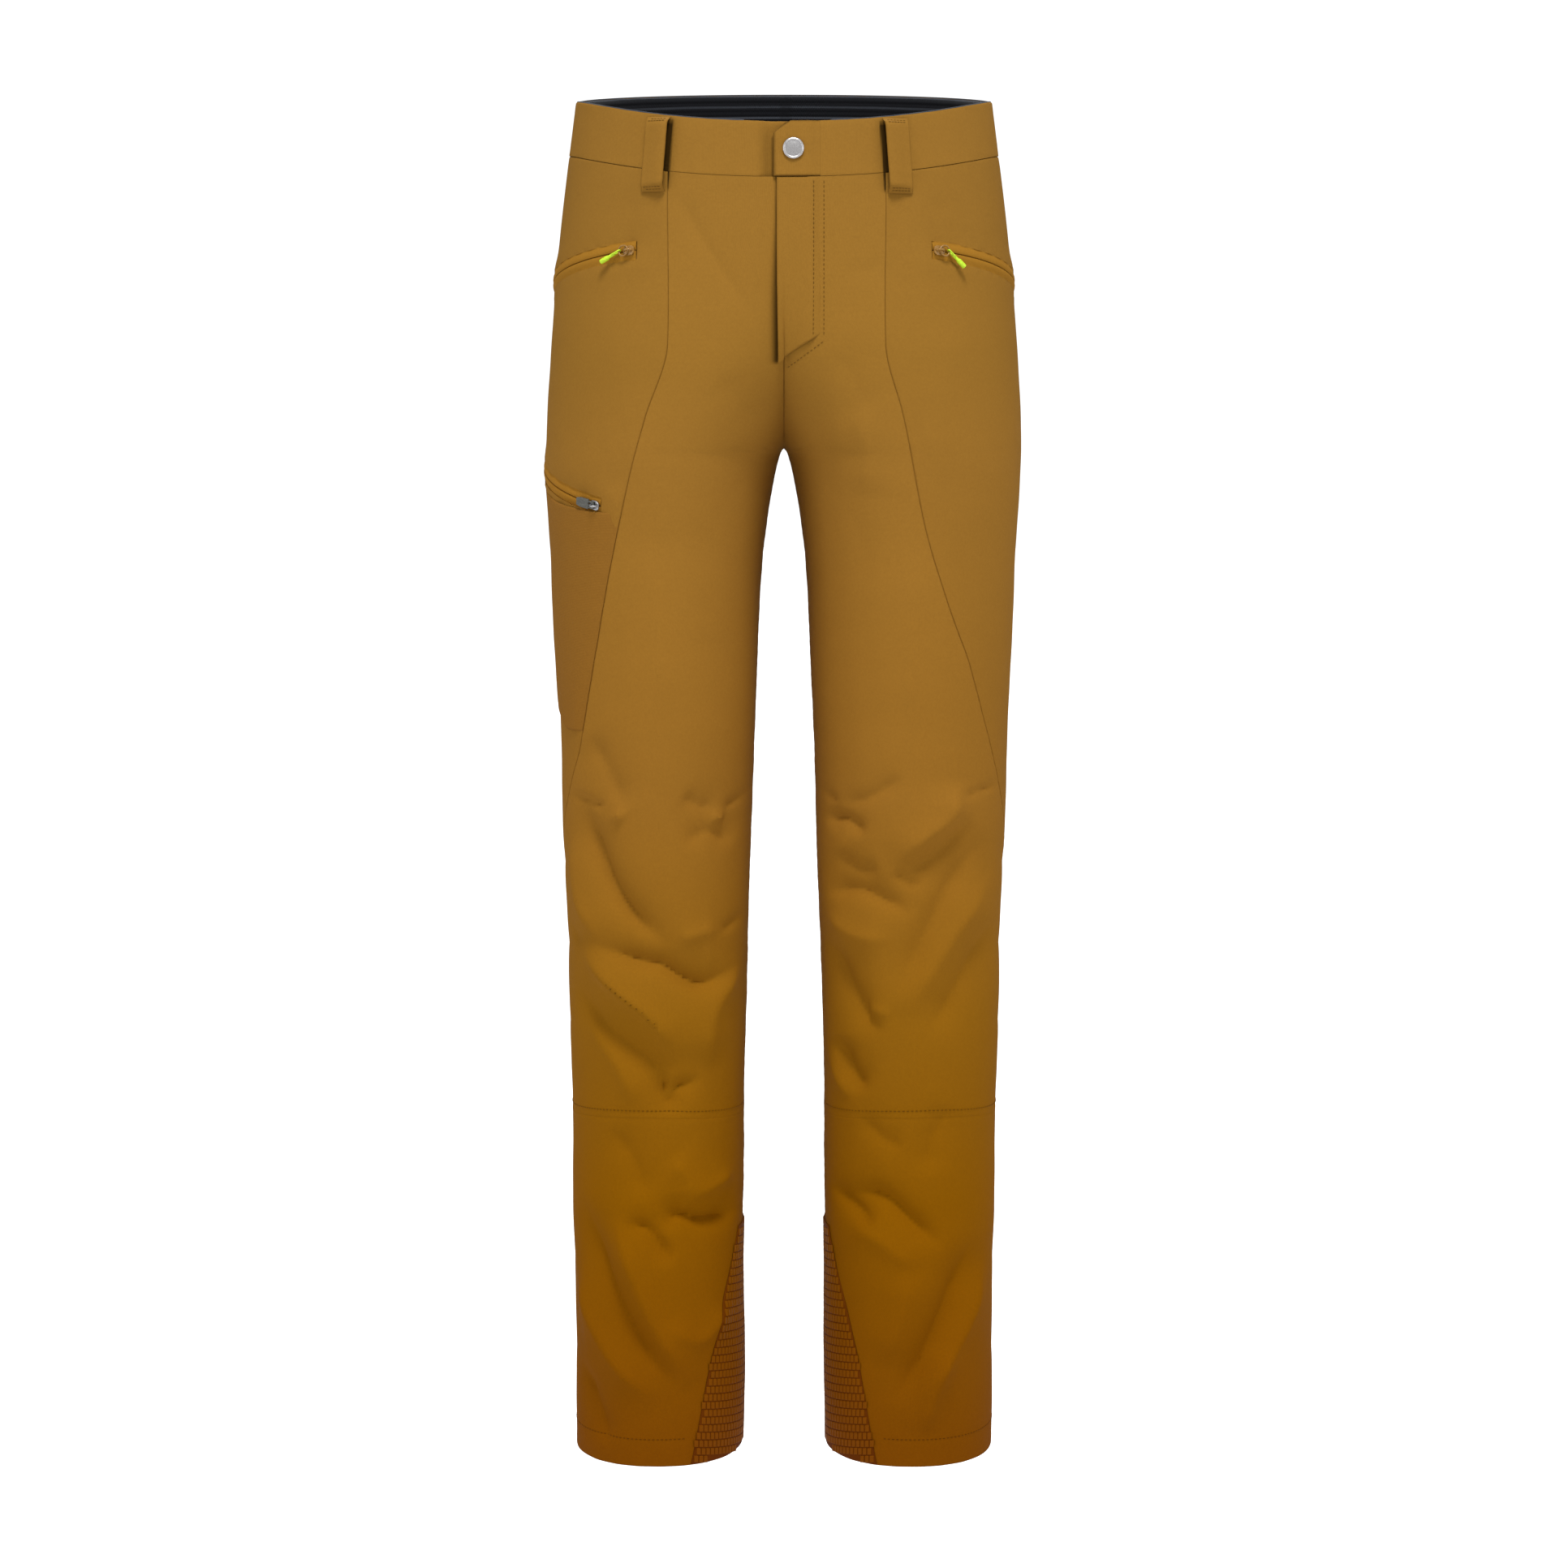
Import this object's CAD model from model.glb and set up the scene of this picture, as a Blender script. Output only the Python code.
import math
import bpy
import bmesh
import numpy as np
from mathutils import Matrix, Vector


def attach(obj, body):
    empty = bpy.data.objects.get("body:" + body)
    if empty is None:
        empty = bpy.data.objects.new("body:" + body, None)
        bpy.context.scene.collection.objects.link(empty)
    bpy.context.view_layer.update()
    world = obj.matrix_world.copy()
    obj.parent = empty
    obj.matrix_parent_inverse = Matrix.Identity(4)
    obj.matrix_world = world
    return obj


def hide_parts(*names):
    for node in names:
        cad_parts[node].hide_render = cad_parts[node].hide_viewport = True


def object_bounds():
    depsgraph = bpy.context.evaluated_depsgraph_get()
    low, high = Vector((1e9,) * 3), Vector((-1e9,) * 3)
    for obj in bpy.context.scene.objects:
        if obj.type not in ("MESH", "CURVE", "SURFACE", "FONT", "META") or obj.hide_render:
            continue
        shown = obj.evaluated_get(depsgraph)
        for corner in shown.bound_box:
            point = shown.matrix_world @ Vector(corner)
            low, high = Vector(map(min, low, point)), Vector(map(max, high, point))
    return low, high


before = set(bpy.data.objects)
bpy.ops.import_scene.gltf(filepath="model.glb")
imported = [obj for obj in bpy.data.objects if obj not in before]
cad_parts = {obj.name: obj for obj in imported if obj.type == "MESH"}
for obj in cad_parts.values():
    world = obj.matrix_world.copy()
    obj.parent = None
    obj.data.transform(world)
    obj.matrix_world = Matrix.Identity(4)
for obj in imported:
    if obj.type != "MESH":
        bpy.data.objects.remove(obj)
cadBox = [list(corner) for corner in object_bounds()]

# ---- camera, light and floor ----
stageLook = {
    "cameraPlace": (0, -3.0, -0.15),
    "cameraAim": (0, 0, -0.53),
    "lens": 88,
    "sensor": 36,
    "floorDrop": 0.25,  # below the hems
    "seenStrength": 0.56,  # what the camera sees behind the object
    "worldStrength": 0.20,  # what lights it
    "exposure": 1.0,
    "lights": [  # name, place, aim, size, watts
        ("keyLight", (0.1, -1.7, 2.9), (0, 0, -0.6), 0.9, 50),
        ("rightFill", (-2.7, -1.7, 0.4), (0, 0, -0.6), 1.4, 9),
        ("leftFill", (2.7, -1.7, 0.4), (0, 0, -0.6), 1.4, 9),
        ("backLight", (0, 1.9, 1.7), (0, 0, -0.5), 1.2, 20),
    ],
}


def aimAt(piece, place, target):
    piece.location = place
    piece.rotation_euler = (Vector(target) - Vector(place)).to_track_quat("-Z", "Y").to_euler()


def seenOrLit(tree, look, socket):
    # a white cyclorama: brighter where it is looked at than as a source of light
    ray = tree.nodes.new("ShaderNodeLightPath")
    strength = tree.nodes.new("ShaderNodeMapRange")
    strength.inputs["To Min"].default_value = look["worldStrength"]
    strength.inputs["To Max"].default_value = look["seenStrength"]
    tree.links.new(ray.outputs["Is Camera Ray"], strength.inputs["Value"])
    tree.links.new(strength.outputs[0], socket)


def setStage(look):
    scene = bpy.context.scene
    camera = bpy.data.objects.new("camera", bpy.data.cameras.new("camera"))
    camera.data.lens = look["lens"]
    camera.data.sensor_width = look["sensor"]
    aimAt(camera, look["cameraPlace"], look["cameraAim"])
    scene.collection.objects.link(camera)
    scene.camera = camera
    for name, place, aim, size, watts in look["lights"]:
        light = bpy.data.objects.new(name, bpy.data.lights.new(name, "AREA"))
        light.data.size = size
        light.data.energy = watts
        aimAt(light, place, aim)
        scene.collection.objects.link(light)
    world = bpy.data.worlds.new("studio")
    world.use_nodes = True
    background = world.node_tree.nodes["Background"]
    background.inputs["Color"].default_value = (1, 1, 1, 1)
    seenOrLit(world.node_tree, look, background.inputs["Strength"])
    scene.world = world
    bpy.ops.object.select_all(action="DESELECT")
    bpy.ops.mesh.primitive_plane_add(size=30, location=(0, 0, cadBox[0][2] - look["floorDrop"]))
    floor = bpy.context.active_object
    floor.name = "floor"
    white = bpy.data.materials.new("paleFloor")
    white.use_nodes = True
    shader = white.node_tree.nodes["Principled BSDF"]
    shader.inputs["Base Color"].default_value = (0.5, 0.5, 0.5, 1)
    shader.inputs["Roughness"].default_value = 0.9
    shader.inputs["Emission Color"].default_value = (1, 1, 1, 1)
    seenOrLit(white.node_tree, look, shader.inputs["Emission Strength"])
    floor.data.materials.append(white)
    scene.view_settings.view_transform = "Standard"
    scene.view_settings.exposure = look["exposure"]


setStage(stageLook)
print("stage set")

# ---- the body shape that all the cloth follows, in metres ----
shape = {
    "rise": 0.265,
    "inseam": 0.799,
    "waistHalf": 0.1605,
    "hipHalf": 0.1848,
    "kneeHalf": 0.1723,
    "hemHalf": 0.167,
    "ovalPower": 2.2,
    "seam": -0.00006,  # panels lap over each other by twice this, so that no light comes through
    "cloth": 0.0012,
    "bandHeight": 0.041,
    "frontDip": 0.0185,
    "backLift": 0.011,
}
rise = shape["rise"]
inseam = shape["inseam"]
ovalPower = shape["ovalPower"]
clothThick = shape["cloth"]
crotchZ = -rise
hemZ = -rise - inseam
mm = 0.001


def legZ(share):
    return crotchZ - share * inseam


kneeSeamZ = legZ(0.656)


def smoothLine(points):
    zs, vs = np.array(sorted(points), float).T
    chord = np.diff(vs) / np.diff(zs)
    slope = np.concatenate([chord[:1], chord[1:], chord[-1:]])
    for i in range(1, len(zs) - 1):
        before, after = chord[i - 1], chord[i]
        slope[i] = 0 if before * after <= 0 else 2 * before * after / (before + after)

    def line(z):
        z = np.asarray(z, float)
        i = np.clip(np.searchsorted(zs, z, side="right") - 1, 0, len(zs) - 2)
        run = zs[i + 1] - zs[i]
        t = (z - zs[i]) / run
        s = 1 - t
        inside = (vs[i] * (1 + 2 * t) * s * s + vs[i + 1] * (1 + 2 * s) * t * t
                  + run * s * t * (slope[i] * s - slope[i + 1] * t))
        below = vs[0] + slope[0] * (z - zs[0])
        above = vs[-1] + slope[-1] * (z - zs[-1])
        return np.where(z < zs[0], below, np.where(z > zs[-1], above, inside))

    return line


waistHalf, hipHalf, kneeHalf, hemHalf = (shape[k] for k in ("waistHalf", "hipHalf", "kneeHalf", "hemHalf"))
outerX = smoothLine([
    (0, waistHalf), (-0.41 * rise, 0.57 * hipHalf + 0.43 * waistHalf),
    (-0.72 * rise, 0.87 * hipHalf + 0.13 * waistHalf), (crotchZ, hipHalf),
    (legZ(0.119), hipHalf - 0.0036), (legZ(0.294), 0.25 * hipHalf + 0.75 * kneeHalf),
    (legZ(0.44), kneeHalf), (legZ(0.662), 0.3 * kneeHalf + 0.7 * hemHalf), (hemZ, hemHalf)])
innerX = smoothLine([(crotchZ, 0.013), (legZ(0.119), 0.0185), (legZ(0.44), 0.0273), (legZ(0.662), 0.032),
                     (hemZ, 0.034)])
halfDepth = smoothLine([
    (0, 0.107), (-0.41 * rise, 0.118), (-0.72 * rise, 0.125), (crotchZ, 0.119), (legZ(0.119), 0.104),
    (legZ(0.294), 0.093), (legZ(0.44), 0.087), (legZ(0.662), 0.082), (hemZ, 0.076)])
middleY = smoothLine([
    (0, 0.003), (-0.41 * rise, 0.007), (-0.72 * rise, 0.010), (crotchZ, 0.009), (legZ(0.119), 0.006),
    (legZ(0.44), -0.002), (legZ(0.662), 0.003), (hemZ, 0.006)])


def section(z):
    z = np.asarray(z, float)
    out = outerX(z)
    below = crotchZ - z
    inner = innerX(z) * (1 - np.exp(-np.maximum(below, 0) / 0.05)) ** 0.6
    share = np.maximum(0, 1 + np.minimum(below, 0) / rise) ** 2
    leg = below >= 0
    a = np.where(leg, (out - inner) / 2, out / (1 + share))
    cx = np.where(leg, (out + inner) / 2, a * share)
    turn = np.where(leg, np.pi, np.pi - np.arccos(share ** (ovalPower / 2)))
    return cx, a, halfDepth(z), middleY(z), turn


def signedPower(value, power):
    return np.sign(value) * np.abs(value) ** power


def skin(side, u, z):
    cx, a, b, cy, turn = section(z)
    angle = (2 * u - 1) * turn
    x = side * (cx + a * signedPower(np.cos(angle), 2 / ovalPower))
    y = cy + b * signedPower(np.sin(angle), 2 / ovalPower)
    return np.stack([x, y, z + 0 * x], -1)


def smoothStep(value, low, high):
    t = np.clip((value - low) / (high - low), 0, 1)
    return t * t * (3 - 2 * t)


def unit(v):
    return v / np.maximum(np.linalg.norm(v, axis=-1, keepdims=True), 1e-12)


def skinNormal(side, u, z):
    across = skin(side, u + 1e-4, z) - skin(side, u - 1e-4, z)
    up = skin(side, u, z + 5e-5) - skin(side, u, z - 5e-5)
    normal = unit(np.cross(across, up) * np.asarray(side + 0 * u)[..., None])
    normal[..., 2] *= 1 - smoothStep(crotchZ - z, 0.06 * inseam, 0.12 * inseam)
    return unit(normal)


def frontU(x, z):
    cx, a, b, cy, turn = section(z)
    t = np.clip((x - cx) / a, -1, 1)
    return (1 - np.arccos(signedPower(t, ovalPower / 2)) / turn) / 2


def backU(x, z):
    return 1 - frontU(x, z)


def girthPerU(z):
    cx, a, b, cy, turn = section(z)
    return turn * (a + b)


def uOf(length, z):
    return length / girthPerU(z)


def rimZ(w):
    u = np.abs(w)
    front = -shape["frontDip"] * (1 + np.cos(2 * np.pi * u)) / 2
    return np.where(u < 0.5, front, -shape["backLift"] * np.cos(np.pi * u))


def bandFootZ(w):
    return rimZ(w) - shape["bandHeight"]


def panelTopZ(u):
    return bandFootZ(u) - 0.0003


sideSeamU = smoothLine([(0, 0.6), (legZ(0.28), 0.565), (legZ(0.44), 0.535), (hemZ, 0.52)])
sidePanelFootZ = legZ(0.44)
seamShares = {
    -1: [(-0.22, 0.518), (-0.69, 0.48), (-0.9, 0.565), (-1.11, 0.647), (-1.45, 0.765), (-1.81, 0.879)],
    1: [(-0.22, 0.452), (-0.69, 0.419), (-0.89, 0.484), (-1.19, 0.574), (-1.43, 0.687), (-1.61, 0.794),
        (-1.81, 0.885)],
}


def frontSeamU(side):
    line = smoothLine([(z * rise, share) for z, share in seamShares[side]])
    lastZ = -1.81 * rise

    def at(z):
        return frontU(line(z) * outerX(z), z)

    tail = smoothLine([(lastZ + 0.02, float(at(lastZ + 0.02))), (lastZ, float(at(lastZ))),
                       (sidePanelFootZ, float(sideSeamU(sidePanelFootZ)))])
    return lambda z: np.where(z > lastZ, at(np.maximum(z, lastZ)), tail(z))


frontSeams = {side: frontSeamU(side) for side in (-1, 1)}


def yokeFootZ(u):
    return -0.295 * rise - 0.085 * rise * (u - 0.6) / 0.4


def kneeRow(u):
    return kneeSeamZ + 0.007 * np.sin(np.pi * np.clip(u / 0.53, 0, 1)) ** 2


# ---- folds: each is a line of (x, z) in millimetres, its height, and how wide it is on either hand ----
frontFolds = {
    -1: [  # the wearer's right leg
        ([(-158, -528), (-147, -570), (-124, -612), (-86, -648)], -6.5, 11, 9),
        ([(-168, -560), (-160, -610), (-140, -648)], 3.0, 9, 10),
        ([(-150, -646), (-116, -657), (-94, -661), (-62, -677), (-34, -664)], -7.0, 15, 6),
        ([(-78, -568), (-58, -557), (-36, -568)], -2.2, 12, 8),
        ([(-158, -650), (-128, -680), (-100, -706), (-84, -742)], 6.0, 15, 8),
        ([(-168, -678), (-140, -712), (-104, -738), (-90, -768)], -4.5, 13, 12),
        ([(-160, -700), (-128, -742), (-112, -778)], 3.2, 14, 9),
        ([(-97, -742), (-89, -768), (-82, -758), (-62, -751)], -4.0, 6, 7),
        ([(-28, -662), (-56, -697), (-60, -745)], 4.0, 12, 16),
        ([(-167, -530), (-136, -539)], -1.6, 2.5, 3.5),
        ([(-47, -541), (-22, -528)], -1.6, 3, 3),
        ([(-132, -541), (-124, -548)], 2.2, 5, 5),
        ([(-56, -545), (-46, -549)], 2.0, 5, 5),
        ([(-78, -527), (-66, -535), (-52, -540)], -2.0, 7, 6),
        ([(-150, -480), (-134, -512), (-120, -540)], -2.6, 10, 12),
        ([(-51, -638), (-24, -624)], -1.6, 4, 3),
        ([(-82, -640), (-52, -633)], 2.0, 7, 8),
        ([(-171, -628), (-158, -650)], -1.6, 4, 4),
        ([(-90, -878), (-84, -860), (-60, -866), (-30, -866)], -4.6, 11, 6),
        ([(-84, -858), (-62, -842), (-36, -830)], 2.6, 9, 9),
        ([(-128, -868), (-108, -870), (-96, -884), (-88, -902)], -3.4, 6, 8),
        ([(-134, -860), (-119, -905), (-104, -945), (-82, -985), (-72, -1003)], 5.5, 13, 17),
        ([(-160, -850), (-148, -890), (-128, -935), (-103, -975), (-82, -1000)], -5.6, 14, 13),
        ([(-168, -900), (-152, -945), (-128, -985), (-98, -1012)], 4.2, 12, 14),
        ([(-162, -985), (-148, -1020), (-138, -1052)], -3.0, 9, 9),
        ([(-96, -945), (-66, -962), (-42, -935)], 2.4, 10, 9),
        ([(-138, -790), (-118, -815), (-106, -850)], -2.2, 12, 14),
        ([(-90, -815), (-74, -832), (-70, -850)], 2.2, 12, 12),
    ],
    1: [  # the wearer's left leg
        ([(28, -553), (46, -548), (64, -560)], -3.6, 6, 7),
        ([(40, -538), (66, -529), (92, -512)], -2.2, 7, 6),
        ([(84, -582), (108, -561), (128, -544), (134, -516)], 4.6, 15, 9),
        ([(92, -592), (120, -572), (146, -548)], -3.8, 10, 14),
        ([(38, -574), (54, -586), (74, -586)], -2.6, 8, 8),
        ([(82, -588), (106, -598)], -2.4, 5, 6),
        ([(28, -612), (54, -603), (82, -612), (100, -623)], -4.4, 12, 7),
        ([(30, -622), (54, -638), (84, -640)], 2.6, 10, 12),
        ([(160, -560), (132, -594), (110, -636), (86, -690)], -4.4, 14, 15),
        ([(163, -590), (142, -622), (116, -662), (92, -704)], 3.8, 13, 14),
        ([(166, -628), (146, -662), (124, -698), (110, -716)], -4.2, 15, 17),
        ([(30, -640), (44, -672), (62, -702), (80, -716)], -4.8, 11, 9),
        ([(62, -696), (82, -700)], 2.2, 8, 6),
        ([(40, -722), (50, -746), (66, -764)], -5.0, 9, 8),
        ([(34, -726), (38, -748), (54, -772)], 2.6, 7, 7),
        ([(26, -527), (42, -537)], -1.4, 3, 3),
        ([(134, -530), (168, -522)], -1.2, 2.5, 3),
        ([(46, -846), (74, -844), (98, -862), (126, -888)], -4.4, 8, 11),
        ([(32, -842), (50, -854), (72, -872)], -3.4, 9, 6),
        ([(50, -868), (80, -884), (104, -906)], 2.4, 12, 12),
        ([(150, -880), (130, -930), (104, -985), (84, -1015)], -5.4, 15, 13),
        ([(160, -900), (146, -945), (120, -990), (98, -1020)], 4.4, 12, 14),
        ([(132, -965), (118, -1005), (108, -1040)], 3.0, 9, 11),
        ([(96, -900), (92, -940), (76, -985)], 2.6, 15, 15),
        ([(58, -782), (78, -800), (96, -806)], -1.8, 10, 8),
        ([(130, -770), (116, -800), (112, -830)], -2.0, 14, 12),
    ],
    0: [  # hips and thighs, both sides
        ([(-86, -62), (-58, -110), (-22, -166)], -1.5, 7, 7),
        ([(-48, -205), (-32, -232), (-20, -250)], -1.3, 20, 16),
        ([(34, -190), (50, -205), (66, -238)], -1.5, 18, 16),
        ([(50, -232), (62, -262), (60, -300)], 2.2, 20, 18),
        ([(-112, -64), (-118, -96), (-110, -128)], -1.6, 11, 12),
        ([(112, -70), (124, -100), (136, -120)], -1.6, 11, 12),
        ([(100, -72), (104, -120), (112, -170)], 1.2, 14, 14),
        ([(-132, -150), (-118, -230), (-120, -300)], 1.8, 26, 26),
        ([(134, -150), (120, -220), (124, -300)], 1.8, 26, 26),
        ([(-10, -262), (-40, -300), (-70, -360)], -0.9, 22, 20),
        ([(10, -262), (44, -300), (74, -370)], -0.9, 22, 20),
        ([(-104, -330), (-96, -400), (-92, -470)], 2.2, 26, 26),
        ([(104, -330), (98, -400), (94, -480)], 2.2, 26, 26),
        ([(-58, -60), (-40, -64), (-10, -64)], -0.8, 4, 5),
        ([(80, -120), (60, -130), (44, -128)], -0.8, 7, 7),
    ],
}
backFolds = [
    ([(-20, -225), (-50, -262), (-96, -290)], -4.5, 9, 12),
    ([(20, -225), (50, -262), (96, -290)], -4.5, 12, 9),
    ([(-12, -262), (-40, -300), (-80, -322)], -4.0, 9, 12),
    ([(14, -262), (44, -304), (84, -330)], -4.0, 12, 9),
    ([(-30, -345), (-70, -380), (-120, -392)], -3.0, 12, 14),
    ([(30, -350), (70, -388), (124, -404)], -3.0, 14, 12),
    ([(-36, -575), (-84, -600), (-140, -588)], -5.0, 12, 9),
    ([(36, -570), (84, -600), (146, -590)], -5.0, 12, 9),
    ([(-40, -622), (-90, -640), (-150, -618)], -5.5, 12, 10),
    ([(40, -618), (92, -642), (150, -624)], -5.5, 12, 10),
    ([(-44, -664), (-96, -690), (-146, -664)], -4.4, 12, 10),
    ([(44, -664), (96, -690), (146, -668)], -4.4, 12, 10),
    ([(-60, -720), (-110, -740), (-150, -722)], -3.0, 13, 12),
    ([(60, -724), (108, -744), (150, -730)], -3.0, 13, 12),
    ([(-150, -860), (-110, -910), (-60, -930)], -4.0, 13, 12),
    ([(150, -870), (112, -914), (62, -940)], -4.0, 12, 13),
    ([(-146, -930), (-112, -984), (-64, -1010)], -4.0, 13, 12),
    ([(146, -930), (112, -984), (66, -1012)], -4.0, 12, 13),
    ([(-60, -120), (-70, -170), (-84, -215)], -1.6, 16, 16),
    ([(60, -120), (72, -170), (84, -215)], -1.6, 16, 16),
]
sideFolds = [  # (y, z) seen from the side, on both legs
    ([(-60, -560), (-10, -590), (50, -580)], -3.2, 12, 10),
    ([(-50, -640), (0, -655), (56, -640)], -4.4, 12, 9),
    ([(-56, -700), (-8, -716), (44, -700)], -3.2, 12, 10),
    ([(-40, -880), (6, -915), (46, -930)], -3.4, 12, 12),
    ([(-46, -960), (0, -985), (40, -1020)], -3.2, 13, 12),
    ([(-30, -330), (20, -370), (50, -430)], -2.2, 16, 16),
]


foldLook = {"height": 1.95, "point": 1.12, "aside": 0.12, "hips": 0.5, "shin": 1.1, "back": 0.7,
            "swell": 0.8 * mm, "ripple": 0.12 * mm}


def smoothPath(points, steps=9):
    p = np.array(points, float)
    p = np.vstack([2 * p[0] - p[1], p, 2 * p[-1] - p[-2]])
    rows = []
    for i in range(1, len(p) - 2):
        t = np.linspace(0, 1, steps, endpoint=i == len(p) - 3)[:, None]
        a, b, c, d = p[i - 1], p[i], p[i + 1], p[i + 2]
        bend, twist = 2 * a - 5 * b + 4 * c - d, 3 * b - a - 3 * c + d
        rows.append(0.5 * (2 * b + (c - a) * t + bend * t ** 2 + twist * t ** 3))
    return np.vstack(rows)


def foldHeight(fold, px, pz):
    points, height, wideLeft, wideRight = fold
    path = smoothPath(points) * mm
    reach = 3.2 * max(wideLeft, wideRight) * mm
    low, high = path.min(0) - reach, path.max(0) + reach
    near = (px > low[0]) & (px < high[0]) & (pz > low[1]) & (pz < high[1])
    result = np.zeros(px.shape)
    if not near.any():
        return result
    q = np.stack([px[near], pz[near]], -1)
    start, step = path[:-1], np.diff(path, axis=0)
    stretch = np.linalg.norm(step, axis=1)
    run = np.concatenate([[0], np.cumsum(stretch)])
    rel = q[:, None] - start[None]
    t = np.clip((rel * step).sum(-1) / stretch ** 2, 0, 1)
    off = rel - t[..., None] * step
    distance = np.linalg.norm(off, axis=-1)
    best = distance.argmin(1)
    pick = np.arange(len(q))
    hand = np.sign(step[best, 0] * off[pick, best, 1] - step[best, 1] * off[pick, best, 0])
    along = (run[best] + t[pick, best] * stretch[best]) / run[-1]
    wide = np.where(hand > 0, wideLeft, wideRight) * mm
    d = distance[pick, best] / wide
    taper = smoothStep(along, -0.02, 0.3) * smoothStep(1 - along, -0.02, 0.3)
    profile = np.exp(-np.abs(d) ** foldLook["point"]) * taper
    result[near] = foldLook["height"] * height * mm * profile
    return result


def relief(side, u, z, place, normal):
    # how far folds push the cloth out (plus) or in (minus)
    x, y = place[..., 0], place[..., 1]
    front = smoothStep(-normal[..., 1], 0.18, 0.6)
    back = smoothStep(normal[..., 1], 0.18, 0.6)
    aside = smoothStep(np.abs(normal[..., 0]), 0.6, 0.85) * (np.abs(x) > 0.1)
    total = np.zeros(x.shape)
    for hand in (-1, 1):
        on = np.where(np.sign(x) == hand, front, 0)
        on = on * np.where(z < kneeSeamZ, foldLook["shin"], 1)
        for fold in frontFolds[hand]:
            total += on * foldHeight(fold, x, z)
    for fold in frontFolds[0]:
        total += foldLook["hips"] * front * foldHeight(fold, x, z)
    for fold in backFolds:
        total += foldLook["back"] * back * foldHeight(fold, x, z)
    for fold in sideFolds:
        total += foldLook["aside"] * aside * foldHeight(fold, y, z)
    # slow swells, so that no stretch of cloth is quite even
    wave = (np.sin(31 * x + 23 * z + 1.3) + np.sin(-19 * x + 37 * z + 17 * y)
            + np.sin(43 * z - 29 * y + 0.6)) / 3
    total += foldLook["swell"] * wave * smoothStep(-z, 0.07, 0.2)
    fine = np.sin(140 * x + 90 * z) * np.sin(75 * z - 120 * x + 60 * y)
    total += foldLook["ripple"] * fine * smoothStep(-z, 0.07, 0.2)
    # calm next to the waistband, and at the hem line
    total *= smoothStep(rimZ(u) - shape["bandHeight"] - z, 0.002, 0.03)
    return total


# ---- finishes ----
inkSteps = [(0.0, (0.300, 0.147, 0.024)), (0.18, (0.312, 0.151, 0.022)), (0.26, (0.340, 0.161, 0.024)),
            (0.36, (0.330, 0.153, 0.021)), (0.5, (0.315, 0.140, 0.017)),
            (0.66, (0.285, 0.118, 0.005)), (0.8, (0.262, 0.096, 0.0)), (1.0, (0.205, 0.060, 0.0))]


def newMaterial(name, **inputs):
    material = bpy.data.materials.new(name)
    material.use_nodes = True
    shader = material.node_tree.nodes["Principled BSDF"]
    for key, value in inputs.items():
        shader.inputs[key.replace("_", " ")].default_value = value
    return material, material.node_tree, shader


def addNode(tree, kind, links=(), **inputs):
    # a shader node with its values set and its links made from (input, socket) pairs
    made = tree.nodes.new("ShaderNode" + kind)
    for key, value in inputs.items():
        made.inputs[key.replace("_", " ")].default_value = value
    for key, socket in links:
        tree.links.new(socket, made.inputs[key])
    return made


def noise(tree, place, scale, detail):
    made = addNode(tree, "TexNoise", [("Vector", place.outputs["Object"])], Scale=scale, Detail=detail)
    return made.outputs["Fac"]


def spread(tree, socket, low, high, **inputs):
    return addNode(tree, "MapRange", [("Value", socket)], To_Min=low, To_Max=high, **inputs).outputs[0]


def times(tree, first, second):
    product = addNode(tree, "Math", [(0, first), (1, second)])
    product.operation = "MULTIPLY"
    return product.outputs[0]


def ribs(tree, place, direction, step, **inputs):
    # bands on the piece's own map, one every step metres
    wave = addNode(tree, "TexWave", [("Vector", place.outputs["UV"])], Scale=2 * math.pi / (20 * step),
                   **inputs)
    wave.bands_direction = direction
    return wave.outputs["Fac"]


def bumpFrom(tree, height, strength, distance, *links):
    bump = addNode(tree, "Bump", [("Height", height), *links], Strength=strength, Distance=distance)
    return bump.outputs["Normal"]


def colourRamp(tree, socket, steps):
    dye = addNode(tree, "ValToRGB", [("Fac", socket)])
    elements = dye.color_ramp.elements
    while len(elements) < len(steps):
        elements.new(0.5)
    for element, (at, colour) in zip(elements, steps):
        element.position = at
        element.color = (*colour, 1)
    return dye.outputs["Color"]


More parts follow.
